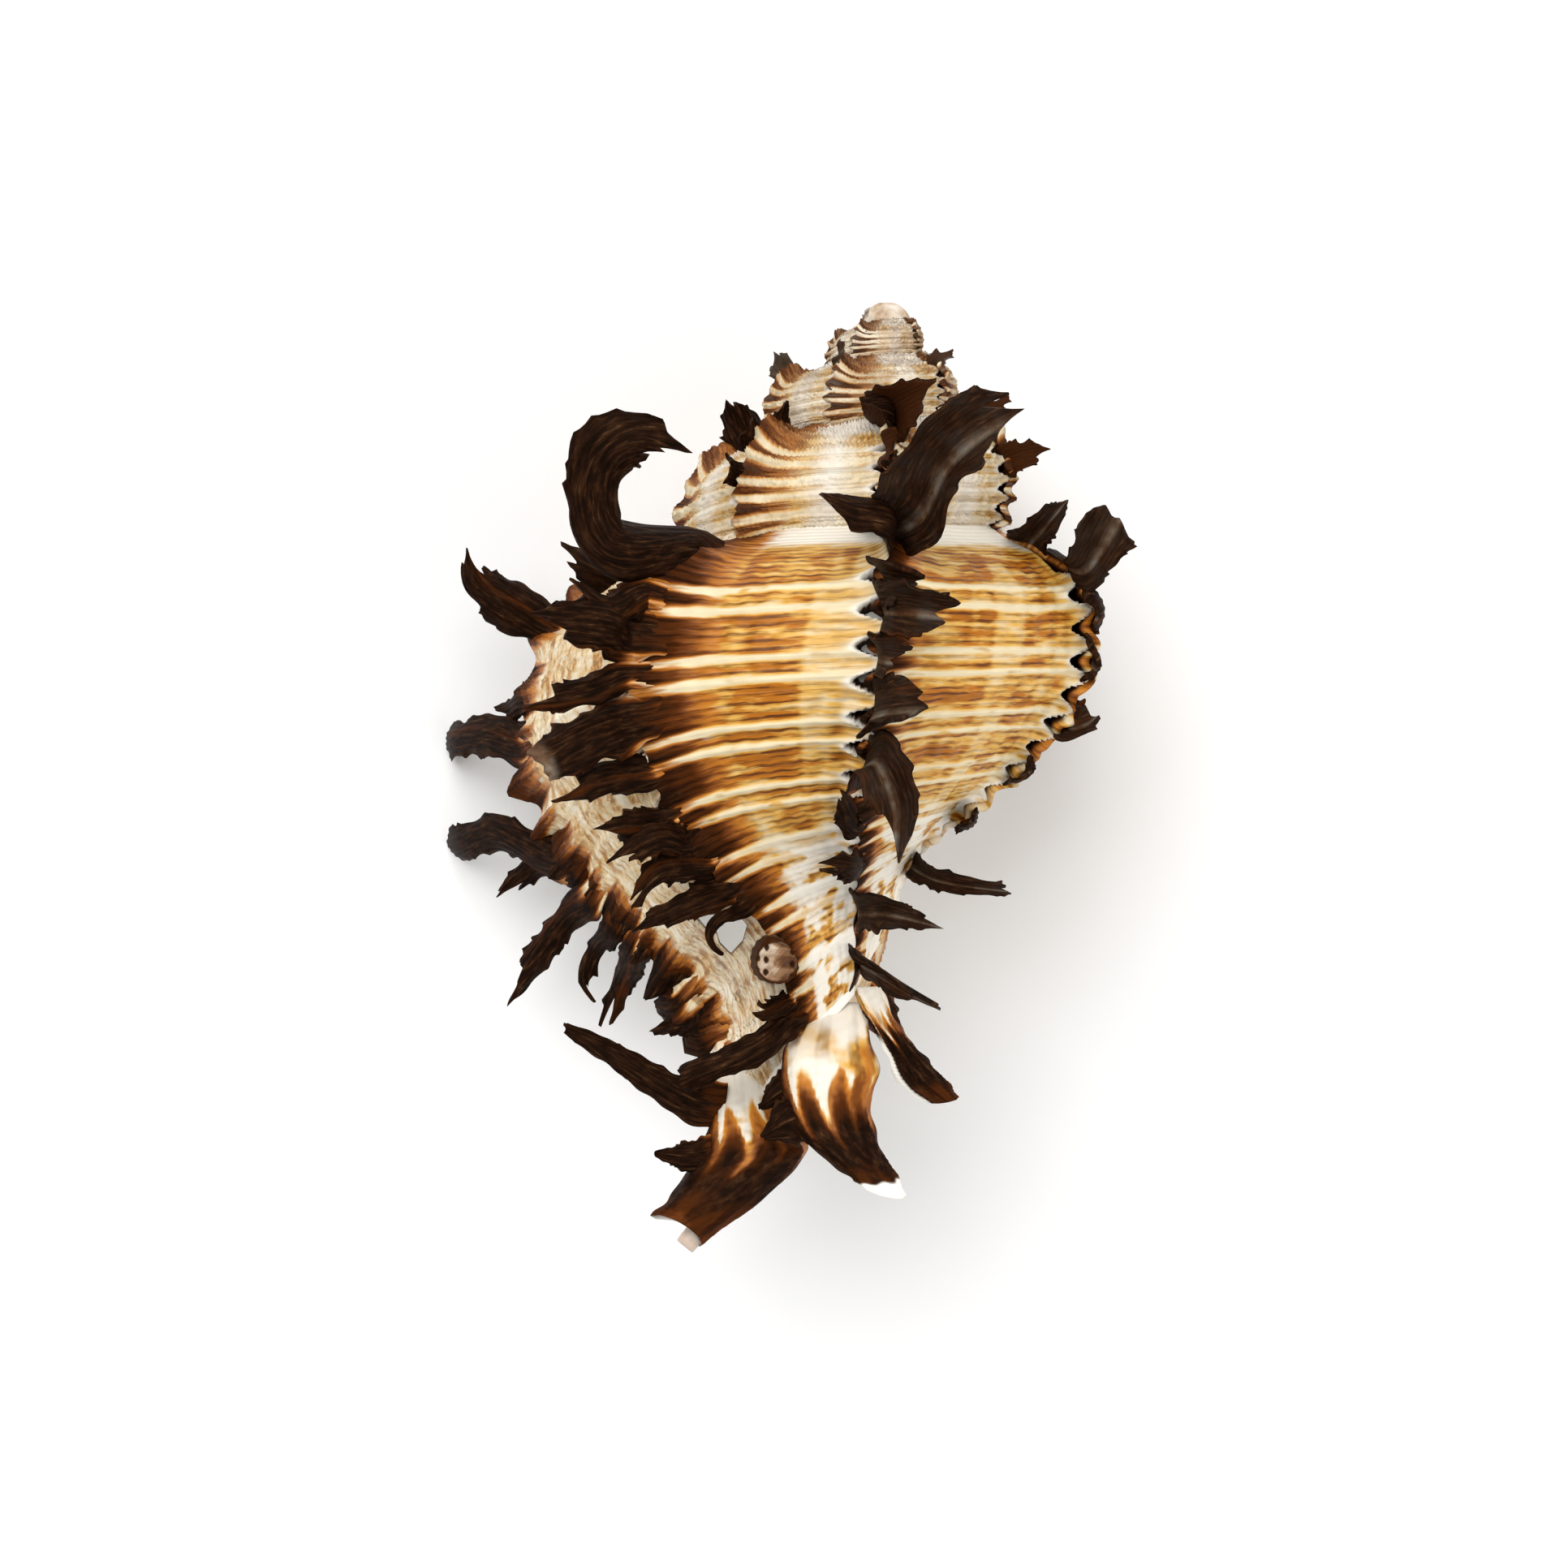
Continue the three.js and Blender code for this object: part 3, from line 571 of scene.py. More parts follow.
# %% Varices
rise_degrees = 18.0
bite_degrees = 4.2
point_degrees = 2.6
early_degrees = 6.0
varix_height = 2.2
lip_height = 3.0
growth_mm_per_degree = 0.36
front_steps = 14


def varix_part(along):
    """The share of its full height that a varix has at a distance along the section."""
    return np.interp(along, section_along, varix_share)


def crest_lift(along, angle, newest):
    """Height of a varix crest, in millimetres: the varix height with its share along the section,
    a sixth more where a frond stands and a third less between. Where the bands end in open cups,
    the cords stand higher."""
    shares, height = (lip_share, lip_height) if newest else (varix_share, varix_height)
    folds = 1.22 - 0.5 * scallop(along) if angle in open_varices else 0.68 + 0.5 * scallop(along)
    uneven = 1 + 0.12 * np.sin(along * 1.9 + angle)
    return size_at(angle) * height * smooth(section_along, shares, along) * folds * uneven


def lip_end(along, varix):
    """The angle where the lip of a varix ends: it is cut back where the next panel climbs it."""
    cut = point_degrees * climbs(along, varix) * varix_part(along)
    return varix - cut * (varix != lip_angle)


def since_start(along, angle, start):
    """Degrees of growth since the edge of a new panel, which runs in points over the old lip and
    keeps back from the hollows between."""
    climb = climbs(along, start)
    edge = point_degrees * climb - bite_degrees * (1 - climb)
    return angle - start + edge * varix_part(along)


def uncovered(after):
    """0 where a new panel lies under the old lip and 1 past its edge, by the degrees past it."""
    return ease(-2.5, 0.3, after)


def panel_lift(along, angle, start, end, height):
    """Height over the plain section: the cords, the collar that climbs the old lip and fades like
    an exponential, and the rise to the next crest as a power of the distance to it."""
    size = size_at(angle)
    after = since_start(along, angle, start)
    before = np.clip(1 - (end - angle) / rise_degrees, 0, 1)
    crest = height * crest_lift(along, end, end == lip_angle)
    cords = 0.24 * size * cord_height(along) * (1 - before) * ease(0, 6, after) * (1 - 0.75 * on_neck(along))
    wrinkles = 0.08 * size * np.sin(angle * 1.15 + 1.3 * np.sin(along * 0.9)) * (0.4 + 0.6 * scallop(along))
    wrinkles = wrinkles * (1 - 0.7 * on_neck(along)) * ease(2, 9, along)
    collar = size * varix_height * (0.3 + 0.55 * climbs(along, start)) * varix_part(along)
    lift = cords + wrinkles + collar * np.exp(-np.clip(after, 0, None) / 3.2) + crest * before ** 1.6
    lift = lift - 1.5 * size * ease(neck_along - 5, neck_along, along) ** 2
    return lift + (-1.6 * size - lift) * (1 - uncovered(after))


def line_of(along, coarse, thin):
    """The line value of the colours. A coarse factor above 1 sets the bands closer, and a thin share
    squeezes them to dashes, with more white between: the phase is bent, knot by knot."""
    turns = (along - first_band) * coarse / band_spacing
    whole = np.rint(turns)
    bent = np.interp(np.abs(turns - whole), [0, 0.1, 0.4, 0.5], [0, 0.28, 0.4, 0.5]) * np.sign(turns - whole)
    return first_band + band_spacing * (turns + thin * (whole + bent - turns))


def panel(name, start, end, low, high, rows, columns, wall, dark_from=0.78, height=1.0, dark=0.6, pale=0.0,
          worn=0.0, old=0.0, lamella=0.0, front_end=60.0, coarse=1.0, thin=0.0, horn=0.0, fade=0.0, shade=0.92,
          below=0.0):
    """One panel as a closed slab of rows along the section and columns along growth: the outer skin,
    the front face of its crest, and the inner skin back to the start."""
    along = np.linspace(low, high, rows)[:, None]
    last_angle = lip_end(along, end)
    first_angle = start - early_degrees
    share = 1 - (1 - np.linspace(0, 1, columns)[None, :]) ** 1.25
    angle = first_angle + (last_angle - first_angle) * share
    along = along + 0 * angle
    # The outer skin, with growth scales on worn or old panels.
    steps = angle * 0.55 + 0.5 * np.sin(along * 1.7) + 0.4 * np.sin(along * 0.6 + angle * 0.3)
    scales = lamella * (steps % 1) ** 2 * (0.4 + 0.6 * scallop(along)) * ease(0, 4, angle - start)
    lift = panel_lift(along, angle, start, end, height) + scales
    corner = horn * np.exp(-(((along - 6.0) / 3.5) ** 2))
    rise = corner * size_at(angle) * np.clip(1 - (end - angle) / rise_degrees, 0, 1) ** 3
    outer = shell_point(along, angle, lift) + spireward * rise[..., None]
    # The front face, hollow between the points.
    drop_share = np.linspace(0, 1, front_steps)[None, 1:]
    edge_along = along[:, -1:]
    hollows = 1 - climbs(edge_along, end)
    forward = smooth([0, 0.08, 0.2, 0.4, 1], [0, 1.4, 1.2, 0, 0], drop_share) * hollows
    backward = smooth([0, 0.2, 0.5, 0.8, 1], [0, 0, 1.6, 1.1, 0], drop_share) * (0.8 + hollows)
    front_angle = last_angle + (forward - backward) / size_at(end)
    front_lift = lift[:, -1:] + (-wall * size_at(end) - lift[:, -1:]) * drop_share
    front_rise = rise[:, -1:] * (1 - drop_share) ** 1.5
    front = shell_point(edge_along + 0 * front_angle, front_angle, front_lift)
    front = front + spireward * front_rise[..., None]
    # The inner skin.
    back_share = np.linspace(0, 1, max(columns // 5, 8))[None, 1:]
    back_angle = last_angle + (first_angle - last_angle) * back_share
    back = shell_point(edge_along + 0 * back_angle, back_angle, -wall * size_at(back_angle))
    points = np.concatenate([outer, front, back], 1)
    # How the shell grew: dark towards the crest, white after the old lip, at the suture and on the neck.
    grown = (angle - start) / (end - start)
    toward = ease(dark_from, 1.0, grown) * dark * (0.65 + 0.35 * ease(4, 9, along))
    toward = toward * (1 + below * ease(18, 27, along))
    after = since_start(along, angle, start)
    tongue = ease(0.55, 1.0, np.cos(2 * np.pi * band_phase(along)))
    white = np.exp(-np.clip(after, 0, None) / 3.0) * (1 - 0.4 * tongue) + 1 - ease(0.4, 4.5, along)
    white = white + ease(neck_along - 7, neck_along - 1, along) + on_neck(along) * 0.85
    white = np.clip(white + fade * np.exp(-(((grown - 0.38) / 0.24) ** 2)) + pale, 0, 1)
    # Painted shade: near black on the front face in the hollows between the points, and where the new panel lies
    # under the old lip; shade scales it.
    front_dark = ease(0.1, 0.8, hollows) * (1 - 0.8 * ease(front_end - 3, front_end + 3, edge_along))
    front_dark = front_dark * ease(0.05, 0.4, drop_share)
    rim = ease(0.2, 0.5, drop_share) * (end == lip_angle) + 0 * front_lift
    behind = np.zeros((1, front.shape[1] + back.shape[1]))
    last = lambda x: np.concatenate([x, x[:, -1:] + behind], 1)
    values = point_values(
        points.shape[:2], line=line_of(last(along), coarse, thin), grow=last(angle * growth_mm_per_degree),
        toward=last(toward), pale=last(white * (1 - toward)), worn=worn, old=old,
        hollow=np.concatenate([ease(0.2, 0.6, 1 - uncovered(after)), front_dark, 0 * back_angle], 1) * shade,
        inside=np.concatenate([0 * grown, rim, 1 + 0 * back_angle], 1))
    make_piece(name, points, ring_faces(rows, points.shape[1], columns + front.shape[1]), values)


# %% The last turn
# Each panel: where it starts and ends, its rows and columns, its wall, and what is special in it.
last_turn = [
    ("panel_under_left", -163, -88, 230, 110, 2.4, {}),
    ("panel_under_right", -88, -36, 230, 90, 2.4, {}),
    ("panel_right", -36, 28, 230, 110, 2.4, {"front_end": 24.0, "dark": 0.35, "below": -0.7}),
    ("panel_upper_right", 28, 87, 250, 130, 2.4, {"dark_from": 0.76, "dark": 1.15}),
    ("panel_upper_left", 87, 138, 250, 130, 1.2, {"dark_from": 0.52, "dark": 0.95}),
    ("panel_lip", 138, 197, 250, 130, 1.2,
     {"dark_from": 0.76, "dark": 0.7, "worn": 0.9, "lamella": 0.45, "below": 0.8}),
]
for name, start, end, rows, columns, wall, special in last_turn:
    panel(name, start, end, -4, neck_along, rows, columns, wall, **special)

# %% [markdown]
# The older turns show only above the suture, so their panels end there. They stood in the sea for
# years, and grow greyer and more worn towards the tip.

# %% The spire
spire_varices = [-1110, -1035, -951, -883, -810, -752, -675, -600, -540, -450, -392, -332, -273, -222, -163]
for index, (start, end) in enumerate(zip(spire_varices[:-1], spire_varices[1:])):
    age = float(ease(-380, -900, start))
    panel(f"spire_panel_{index + 1}", start, end, -3, 24, 120, 70, 2.0, dark_from=0.5, height=1.25, dark=0.66,
          old=0.25 + 0.4 * age, lamella=0.6 * (1 - 0.5 * age), coarse=1.3, thin=0.8, horn=3.0, fade=0.8,
          shade=0.5)
panel("spire_tip", -1243, -1110, -3, 22, 70, 80, 2.0, dark_from=0.9, height=0.8, dark=0.4, pale=0.3, old=0.7,
      lamella=0.3, coarse=1.4, thin=0.8, shade=0.4)

# %% [markdown]
# ## The core
# All turns wind round a solid pillar: a profile, spun round the axis. At the neck the ends of the
# older canals overlap on it like layers, so its radius has steps there that run round it slantwise.

# %% Core
core_profile = [
    [0, 4.6], [1.5, 5.4], [2.6, 8.0], [3.2, 20.0], [4.4, 40.0], [5.1, 56.0], [4.6, 63.0], [3.4, 67.5], [0, 69.5],
]
axis_width = 0.02


def spun(name, profile, rows, columns, relief, **values):
    """A profile of (radius, drop) spun round the axis. The relief changes the radius at each angle,
    and the values may be functions of the angle, the drop and the relief."""
    rings = through(profile, rows)
    radius, drop, turns = np.maximum(rings[:, :1], axis_width), rings[:, 1:], even_turns(columns)
    radius, raised = relief(radius, turns, drop)
    points = place(radius, np.degrees(turns) + 0 * drop, drop + 0 * turns)
    given = {key: value(turns, drop, raised) if callable(value) else value for key, value in values.items()}
    make_piece(name, points, ring_faces(rows, columns, columns // 2), point_values(points.shape[:2], **given))


def canal_layers(radius, turns, drop):
    """Slanting steps round the neck, as the fraction of a phase squared."""
    layers = (turns * 9 / (2 * np.pi) + drop / 7) % 1
    layers = 0.55 * layers ** 2 * ease(36, 46, drop) * ease(69, 64, drop)
    return radius + layers, layers


def tip_lumps(radius, turns, drop):
    """Shallow lumps: two waves round the axis."""
    lumps = 1 + 0.14 * np.sin(2 * turns + np.radians(40)) + 0.08 * np.sin(5 * turns + drop * 3)
    return radius * lumps, lumps


spun("core", core_profile, rows=120, columns=96, relief=canal_layers,
     line=lambda turns, drop, layers: 20 + 0.35 * drop + 6 * layers,
     grow=lambda turns, drop, layers: 9 * turns, toward=lambda turns, drop, layers: 0.5 * layers,
     pale=0.5, worn=0.6, old=0.1)

# The worn first turn closes the tip: a low dome with shallow lumps.
tip_profile = [[0, 3.25], [0.8, 3.35], [1.35, 3.8], [1.75, 4.5], [1.9, 5.2], [1.2, 5.9], [0, 6.2]]
spun("tip", tip_profile, rows=36, columns=48, relief=tip_lumps,
     line=lambda turns, drop, lumps: first_band + 1.2 * np.sin(turns),
     grow=lambda turns, drop, lumps: drop * 2, hollow=0.08, old=1.0)

# %% [markdown]
# ## Fronds
# At a varix the lip is folded outwards into fronds: open channels, convex on the older side, with
# torn edges and forked ends. A frond is a ribbon carried along a smooth line. Its root lies flat on
# the panel, so that the ridges of the panel run up into it, and then it folds and stands free.

# %% Ribbon
ribbon_skins = (27, 15)
curve_points = 90


def carried(line_points, count):
    """Points at even distances along a smooth line through a few points."""
    line_points = np.asarray(line_points, float)
    knots = np.concatenate([[0], np.cumsum(np.linalg.norm(np.diff(line_points, axis=0), axis=1) ** 0.5)])
    dense = smooth(knots, line_points, np.linspace(0, knots[-1], 400))
    run = np.concatenate([[0], np.cumsum(np.linalg.norm(np.diff(dense, axis=0), axis=1))])
    at = np.linspace(0, run[-1], count)
    return np.stack([np.interp(at, run, dense[:, i]) for i in range(3)], -1), run[-1]


def backs_along(tangents, back):
    """The back's direction at each ring: the one before it, less its part along the tangent."""
    backs = np.empty_like(tangents)
    for ring, tangent in enumerate(tangents):
        back = unit(back - tangent * (back @ tangent))
        backs[ring] = back
    return backs


def two_skins(outer, inner):
    """Where points lie across a folded sheet, from -1 to 1 on its outer skin and back again on its
    inner one, and 0 or 1 for the skin that each is on."""
    across = np.concatenate([np.linspace(-1, 1, outer), np.linspace(1, -1, inner)])
    return across[None, :], np.repeat([0.0, 1.0], [outer, inner])[None, :]


def ribbon(line_points, back, half, fold, wall, rng, rows=46, teeth=5, tooth=0.5, fork=0.2, ruffle=0.2,
           face=None):
    """A folded ribbon. Across it, points lie on an arc of the half angle `fold`, whose radius fits
    the half width. The rims carry teeth: steep bumps along the length, which point to the tip.
    The end is forked: lines of the ribbon stop at different shares of the length. With `face`, the
    back turns to that direction on the way."""
    curve, length = carried(line_points, curve_points)
    tangents = unit(np.gradient(curve, axis=0))
    backs = backs_along(tangents, back)
    if face is not None:
        turned = face - tangents * (tangents @ np.asarray(face))[:, None]
        backs = unit(backs + turned * 2.0 * ease(0.15, 0.55, np.linspace(0, 1, curve_points))[:, None])
    t = np.linspace(0, 1, rows)[:, None]
    v, inner = two_skins(*ribbon_skins)
    wave = rng.uniform(0, 2 * np.pi, 4)
    prongs = rng.uniform(-0.85, 0.85, 3)
    short = rng.uniform(0.1, 0.7, 3) * [0, 1, 1]
    cut = fork * np.minimum(1, (np.abs(v[..., None] - prongs) * 1.5 + short).min(-1))
    t_here = np.clip(t * (1 - cut * ease(0.45, 1.0, t)), 0, 1) + 0 * v
    samples = np.linspace(0, 1, len(curve))
    frames = np.concatenate([curve, tangents, backs], 1)
    x, y, z, tx, ty, tz, bx, by, bz = (np.interp(t_here, samples, frames[:, i]) for i in range(9))
    centre, tangent = np.stack([x, y, z], -1), unit(np.stack([tx, ty, tz], -1))
    backward = unit(np.stack([bx, by, bz], -1))
    sideways = np.cross(tangent, backward)
    width, angle = half(t_here), fold(t_here)
    rim = ease(0.5, 1.0, np.abs(v))
    centres = rng.uniform(0.38, 0.98, (2, teeth))
    widths = rng.uniform(0.025, 0.07, (2, teeth))
    heights = rng.uniform(0.3, 1.0, (2, teeth))
    side = (v > 0).astype(int) + 0 * (t_here > 0)
    gap = (t_here[..., None] - centres[side]) / widths[side]
    peaks = np.clip(1 - np.where(gap > 0, gap * 2.2, -gap), 0, 1) ** 1.3
    spikes = (heights[side] * peaks).max(-1) if teeth else 0
    uneven = 1 + 0.08 * np.sin(t_here * 17 + wave[2]) * rim + 0.05 * np.sin(t_here * 41 + wave[3] + v) * rim
    reach = tooth * spikes * rim
    arc = v * angle
    radius = width * uneven / np.where(angle < np.pi / 2, np.sin(angle), 1.0)
    grooves = 0.05 * np.cos(v * 21 + 2 * np.sin(t_here * 5 + wave[0])) * (1 - inner) * ease(0.0, 0.2, t_here)
    thick = wall * (1 - 0.65 * np.abs(v) ** 3) * (1 - 0.5 * t_here)
    thick = thick * (0.35 + 0.65 * ease(0.0, 0.3, t_here)) * inner
    radial = radius + grooves - thick
    middle = radius * (1 + np.cos(angle)) / 2
    across = radial * np.sin(arc) + np.sign(v) * reach
    behind = radial * np.cos(arc) - middle + ruffle * np.sin(t_here * 14 + wave[1] + v * 2) * rim
    points = centre + sideways * across[..., None] + backward * behind[..., None]
    points = points + tangent * (0.7 * reach)[..., None]
    faces = ring_faces(rows, sum(ribbon_skins), ribbon_skins[0])
    return points, faces, t_here, v + 0 * t_here, inner + 0 * t_here, length


# %% Frond
# For a varix: where its panel starts, from which share of the panel it darkens, and how much.
panel_darkness = {end: (start, special.get("dark_from", 0.78), special["dark"])
                  for _, start, end, *_, special in last_turn if "dark" in special}
root_degrees = 12


def outward_at(along, angle):
    """Unit vector straight out of the plain surface."""
    return unit(shell_point(along, angle, 1.0) - shell_point(along, angle, 0.0))


def frond(angle, drop, widths, path, fold_end=1.4, streak=0.0, worn=0.0, grey_tip=0.0, **more):
    """A frond of the varix at an angle. Its line starts flat on the panel, climbs the crest and
    goes on through the points of its path. Its root has the lines and the brown of the panel."""
    along, size = along_of(drop), size_at(angle)
    back_at_root = root_degrees / size
    crest = crest_lift(along, angle, angle > 190)
    low_points = [shell_point(along, angle - back, crest * max(1 - back / rise_degrees, 0) ** 1.6 - sink)
                  for back, sink in ((back_at_root, 0.95), (back_at_root / 2, 0.4), (1.5, 0.05))]
    points = np.array([*low_points, *path])
    outward = outward_at(along, angle - back_at_root)
    runs = np.concatenate([[0], np.cumsum(np.linalg.norm(np.diff(points, axis=0), axis=1))])
    root = runs[2] / runs[-1]
    shares = np.concatenate([[0, root * 0.5], root + (1 - root) * np.linspace(0, 1, len(widths))])
    halves = np.concatenate([[widths[0] * 0.26, widths[0] * 0.38], np.asarray(widths) / 2])
    half = lambda t: np.interp(t, shares, halves)
    fold = lambda t: 0.7 + (fold_end - 0.7) * ease(root * 0.6, min(root + 0.35, 1.0), t)
    wall = 0.12 * widths[0] + 0.3
    points, faces, t, v, inner, length = ribbon(points, outward, half, fold, wall, rng, **more)
    groove = np.exp(-(((v + 0.25) / 0.10) ** 2))
    start, dark_from, dark = panel_darkness.get(angle, (angle - 60, 0.6, 0.65))
    grown = 1 - back_at_root * np.clip(1 - t / root, 0, 1) / (angle - start)
    toward = np.maximum(ease(dark_from, 1, grown) * dark, 1.55 * ease(0.3 * root, root + 0.1, t))
    # Painted shade: the inner skin, inside the frond's channel, is darker, less so on streaked fronds.
    return points, faces, point_values(
        t.shape, line=along + v * half(t) / size, toward=toward,
        grow=(angle - back_at_root) * growth_mm_per_degree + t * length,
        pale=0.85 * on_neck(along) * np.clip(1 - toward, 0, 1), hollow=inner * (0.35 - streak * 0.35),
        worn=worn * (1 - ease(0.4 * root, root, t)),
        old=streak * inner * (0.04 + 0.6 * groove) + grey_tip * ease(0.86, 0.94, t) + 0.28 * (angle < -380))


# %% [markdown]
# Each big frond has its own place, so we write them down as tables: the drop where it stands on its
# varix, its widths, and the points that it goes through. The last number of a point is its height.

# %% Fronds of the newest varix, at the lip
lip_fronds = [
    (28.2, [4.2, 4.6, 1.2], [[-26.5, 17.5, 14], [-28.4, 19.2, 14], [-29.3, 22.2, 14]]),
    (25.0, [4.0, 3.6, 1.6], [[-17.5, 20.0, 20], [-20.9, 22.1, 19]]),
    (32.0, [3.0, 2.4, 1.6], [[-25.5, 7.0, 11], [-27.2, 6.5, 9]]),
    (34.6, [4.8, 3.8, 3.4, 3.2], [[-27.4, 4.6, 10.5], [-30.6, 4.2, 4.5], [-31.5, 4.1, 0.0]], {"fold_end": 0.8}),
    (41.0, [4.6, 3.8, 3.4, 3.2], [[-26.6, -4.7, 10.5], [-30.2, -5.6, 4.5], [-31.3, -5.8, 0.0]], {"fold_end": 0.8}),
    (41.9, [3.2, 2.6, 1.2], [[-22.9, -7.5, 12], [-26.8, -10.7, 9]]),
    (43.6, [3.8, 2.8, 2.5, 2.0], [[-20.0, -12.2, 15], [-23.2, -16.2, 12], [-26.4, -20.2, 9]]),
    (45.2, [3.0, 1.9, 1.5, 0.6], [[-17.6, -15.4, 15], [-18.6, -18.2, 14], [-17.5, -20.4, 13]]),
    (46.6, [3.4, 2.6, 1.2], [[-15.0, -18.2, 15], [-16.9, -22.8, 13]]),
    (50.4, [4.2, 3.6, 2.4], [[-11.6, -20.4, 20]]),
    (53.4, [4.4, 3.0, 2.2], [[-7.8, -21.4, 24], [-12.4, -22.0, 21]]),
]
# Fronds of the varix on the upper left, whose backs are seen from above.
left_fronds = [
    (25.2, [7.2, 6.0, 5.4, 5.4, 2.2],
     [[-15.6, 22.3, 42], [-16.9, 26.1, 44], [-15.9, 29.3, 45.5], [-13.4, 30.7, 46.5], [-8.3, 29.3, 45]],
     {"teeth": 8, "tooth": 1.1}),
    (31.4, [5.4, 4.6, 1.2], [[-16.5, 14.5, 46], [-23.0, 15.0, 49]]),
    (28.8, [3.6, 2.6, 1.0], [[-16.0, 16.0, 45], [-19.6, 18.6, 47]]),
    (34.0, [3.0, 2.6, 1.6], [[-17.5, 8.6, 44], [-24.0, 7.4, 46]]),
    (36.8, [5.2, 4.6, 3.6], [[-16.5, 4.6, 44], [-22.6, 1.5, 46]], {"grey_tip": 0.8, "fork": 0.06}),
    (40.0, [3.6, 3.0, 1.0], [[-16.5, 0.4, 42], [-21.2, -1.4, 44]]),
    (43.0, [3.2, 2.6, 1.2], [[-17.4, -4.2, 41]]),
    (44.6, [3.4, 2.8, 1.0], [[-11.5, -5.0, 41], [-16.1, -7.4, 41]]),
    (46.2, [3.2, 2.6, 1.0], [[-11.4, -8.0, 39], [-14.2, -11.2, 39]]),
    (48.0, [3.2, 2.6, 1.2], [[-9.0, -11.2, 37], [-13.8, -13.8, 37]]),
    (49.0, [1.8, 1.3, 1.0, 0.7, 0.3],
     [[-6.1, -12.5, 35.5], [-6.8, -13.8, 35.3], [-6.4, -14.9, 35], [-5.5, -15.6, 34.6]],
     {"teeth": 1, "tooth": 0.1, "fork": 0.02}),
    (56.2, [2.2, 1.8, 1.4], [[-1.6, -20.8, 33], [-2.9, -20.6, 33]]),
    (57.6, [3.2, 2.9, 2.7, 2.5], [[-2.2, -23.9, 34], [-6.0, -25.6, 34], [-9.6, -27.2, 33]],
     {"teeth": 2, "tooth": 0.2, "fork": 0.04}),
]
# Fronds of the varix on top, which stand up and curl back to the right.
top_fronds = [
    (24.4, [6.4, 6.2, 6.8, 6.6, 6.0, 3.6],
     [[11.6, 24.6, 46], [13.5, 28.6, 49], [16.4, 31.5, 50.5], [19.3, 33.1, 50.5], [21.8, 33.9, 50]]),
    (25.6, [4.2, 4.4, 4.2, 2.4], [[9.0, 24.4, 46], [6.0, 25.0, 47], [3.1, 26.3, 47.5]]),
    (28.6, [4.6, 4.4, 3.8], [[9.6, 18.4, 51], [12.6, 17.8, 52]]),
    (30.2, [5.0, 5.0, 4.6, 3.8], [[10.4, 16.0, 51.2], [15.8, 15.2, 52.4]]),
    (33.6, [4.0, 3.6, 3.0], [[9.0, 11.4, 52], [11.6, 11.2, 52]]),
    (37.4, [5.0, 5.4, 4.8], [[9.4, 7.2, 51.8], [12.9, 7.4, 52.6]]),
    (41.4, [5.2, 5.0, 4.6, 2.6], [[8.6, 2.4, 51], [10.4, -2.0, 52], [10.2, -7.2, 51]]),
    (46.0, [3.0, 2.2, 1.0], [[5.0, -0.6, 45]]),
    (49.0, [3.4, 2.6, 1.2], [[5.6, -7.4, 42], [2.9, -7.4, 43]]),
    (52.6, [4.0, 3.2, 1.4], [[9.6, -11.6, 39], [14.6, -13.0, 40]]),
    (56.6, [3.4, 2.6, 1.2], [[9.6, -18.0, 36], [14.4, -20.6, 36]]),
]
# Fronds of the varix on the right, whose open fronts are seen from above.
right_fronds = [
    (26.2, [3.4, 4.2, 5.4], [[27.0, 19.6, 34], [30.2, 24.8, 35.5]]),
    (24.6, [4.0, 3.0, 1.2], [[23.4, 23.4, 33], [25.8, 26.0, 35]]),
    (30.2, [4.4, 3.6, 2.0], [[28.2, 15.2, 35]]),
    (34.0, [4.4, 3.6, 2.0], [[28.6, 10.6, 35]]),
    (38.4, [4.0, 3.2, 1.4], [[28.8, 6.4, 33.5]]),
    (43.4, [3.4, 2.6, 1.2], [[22.8, 1.4, 33.5]]),
    (47.6, [3.0, 2.2, 1.0], [[17.2, -3.2, 34]]),
    (52.6, [2.6, 1.8, 1.2], [[14.4, -8.8, 31], [20.9, -9.8, 31]]),
]
# Fronds under the right side. All of them reach the table.
lower_right_fronds = [
    (28.4, [5.0, 4.4, 4.0], [[23.5, 17.8, 7], [24.4, 17.6, 0.2]]),
    (36.6, [5.0, 4.4, 4.0], [[23.2, 9.6, 7], [23.8, 9.4, 0.2]]),
]
under_fronds = [
    (31.0, [4.4, 4.4, 4.0], [[6.6, 20.2, 0.2]]),
    (41.0, [4.4, 4.4, 4.0], [[5.6, 12.4, 0.2]]),
]
# Plain fronds: angle of the varix, drops, length and width at size 1.
plain_fronds = [
    (-36, [32.6, 41.0, 45.6, 50.0], 5.0, 3.6), (-88, [26.4, 45.6, 49.6], 3.0, 3.2),
    (-165, [24.2], 8.0, 5.0), (-222, [24.6, 27.4, 30.4], 5.5, 3.6), (-273, [29.0], 6.0, 5.0),
    (-332, [25.0, 29.4], 8.0, 4.6), (-392, [25.0, 29.4], 6.5, 4.4), (-450, [25.0, 29.4], 5.5, 4.4),
    (-540, [26.0], 8.0, 5.0), (-600, [26.0], 7.0, 5.0), (-675, [26.0], 7.0, 5.0),
]


def short_path(angle, drop, length):
    """Two points straight out of the surface, the second one curled back to the older side."""
    along, reach = along_of(drop), length * size_at(angle)
    foot, outward = shell_point(along, angle, 0.0), outward_at(along, angle)
    return [foot + outward * reach * 0.55, foot + outward * reach + direction(angle - 90) * reach * 0.35]


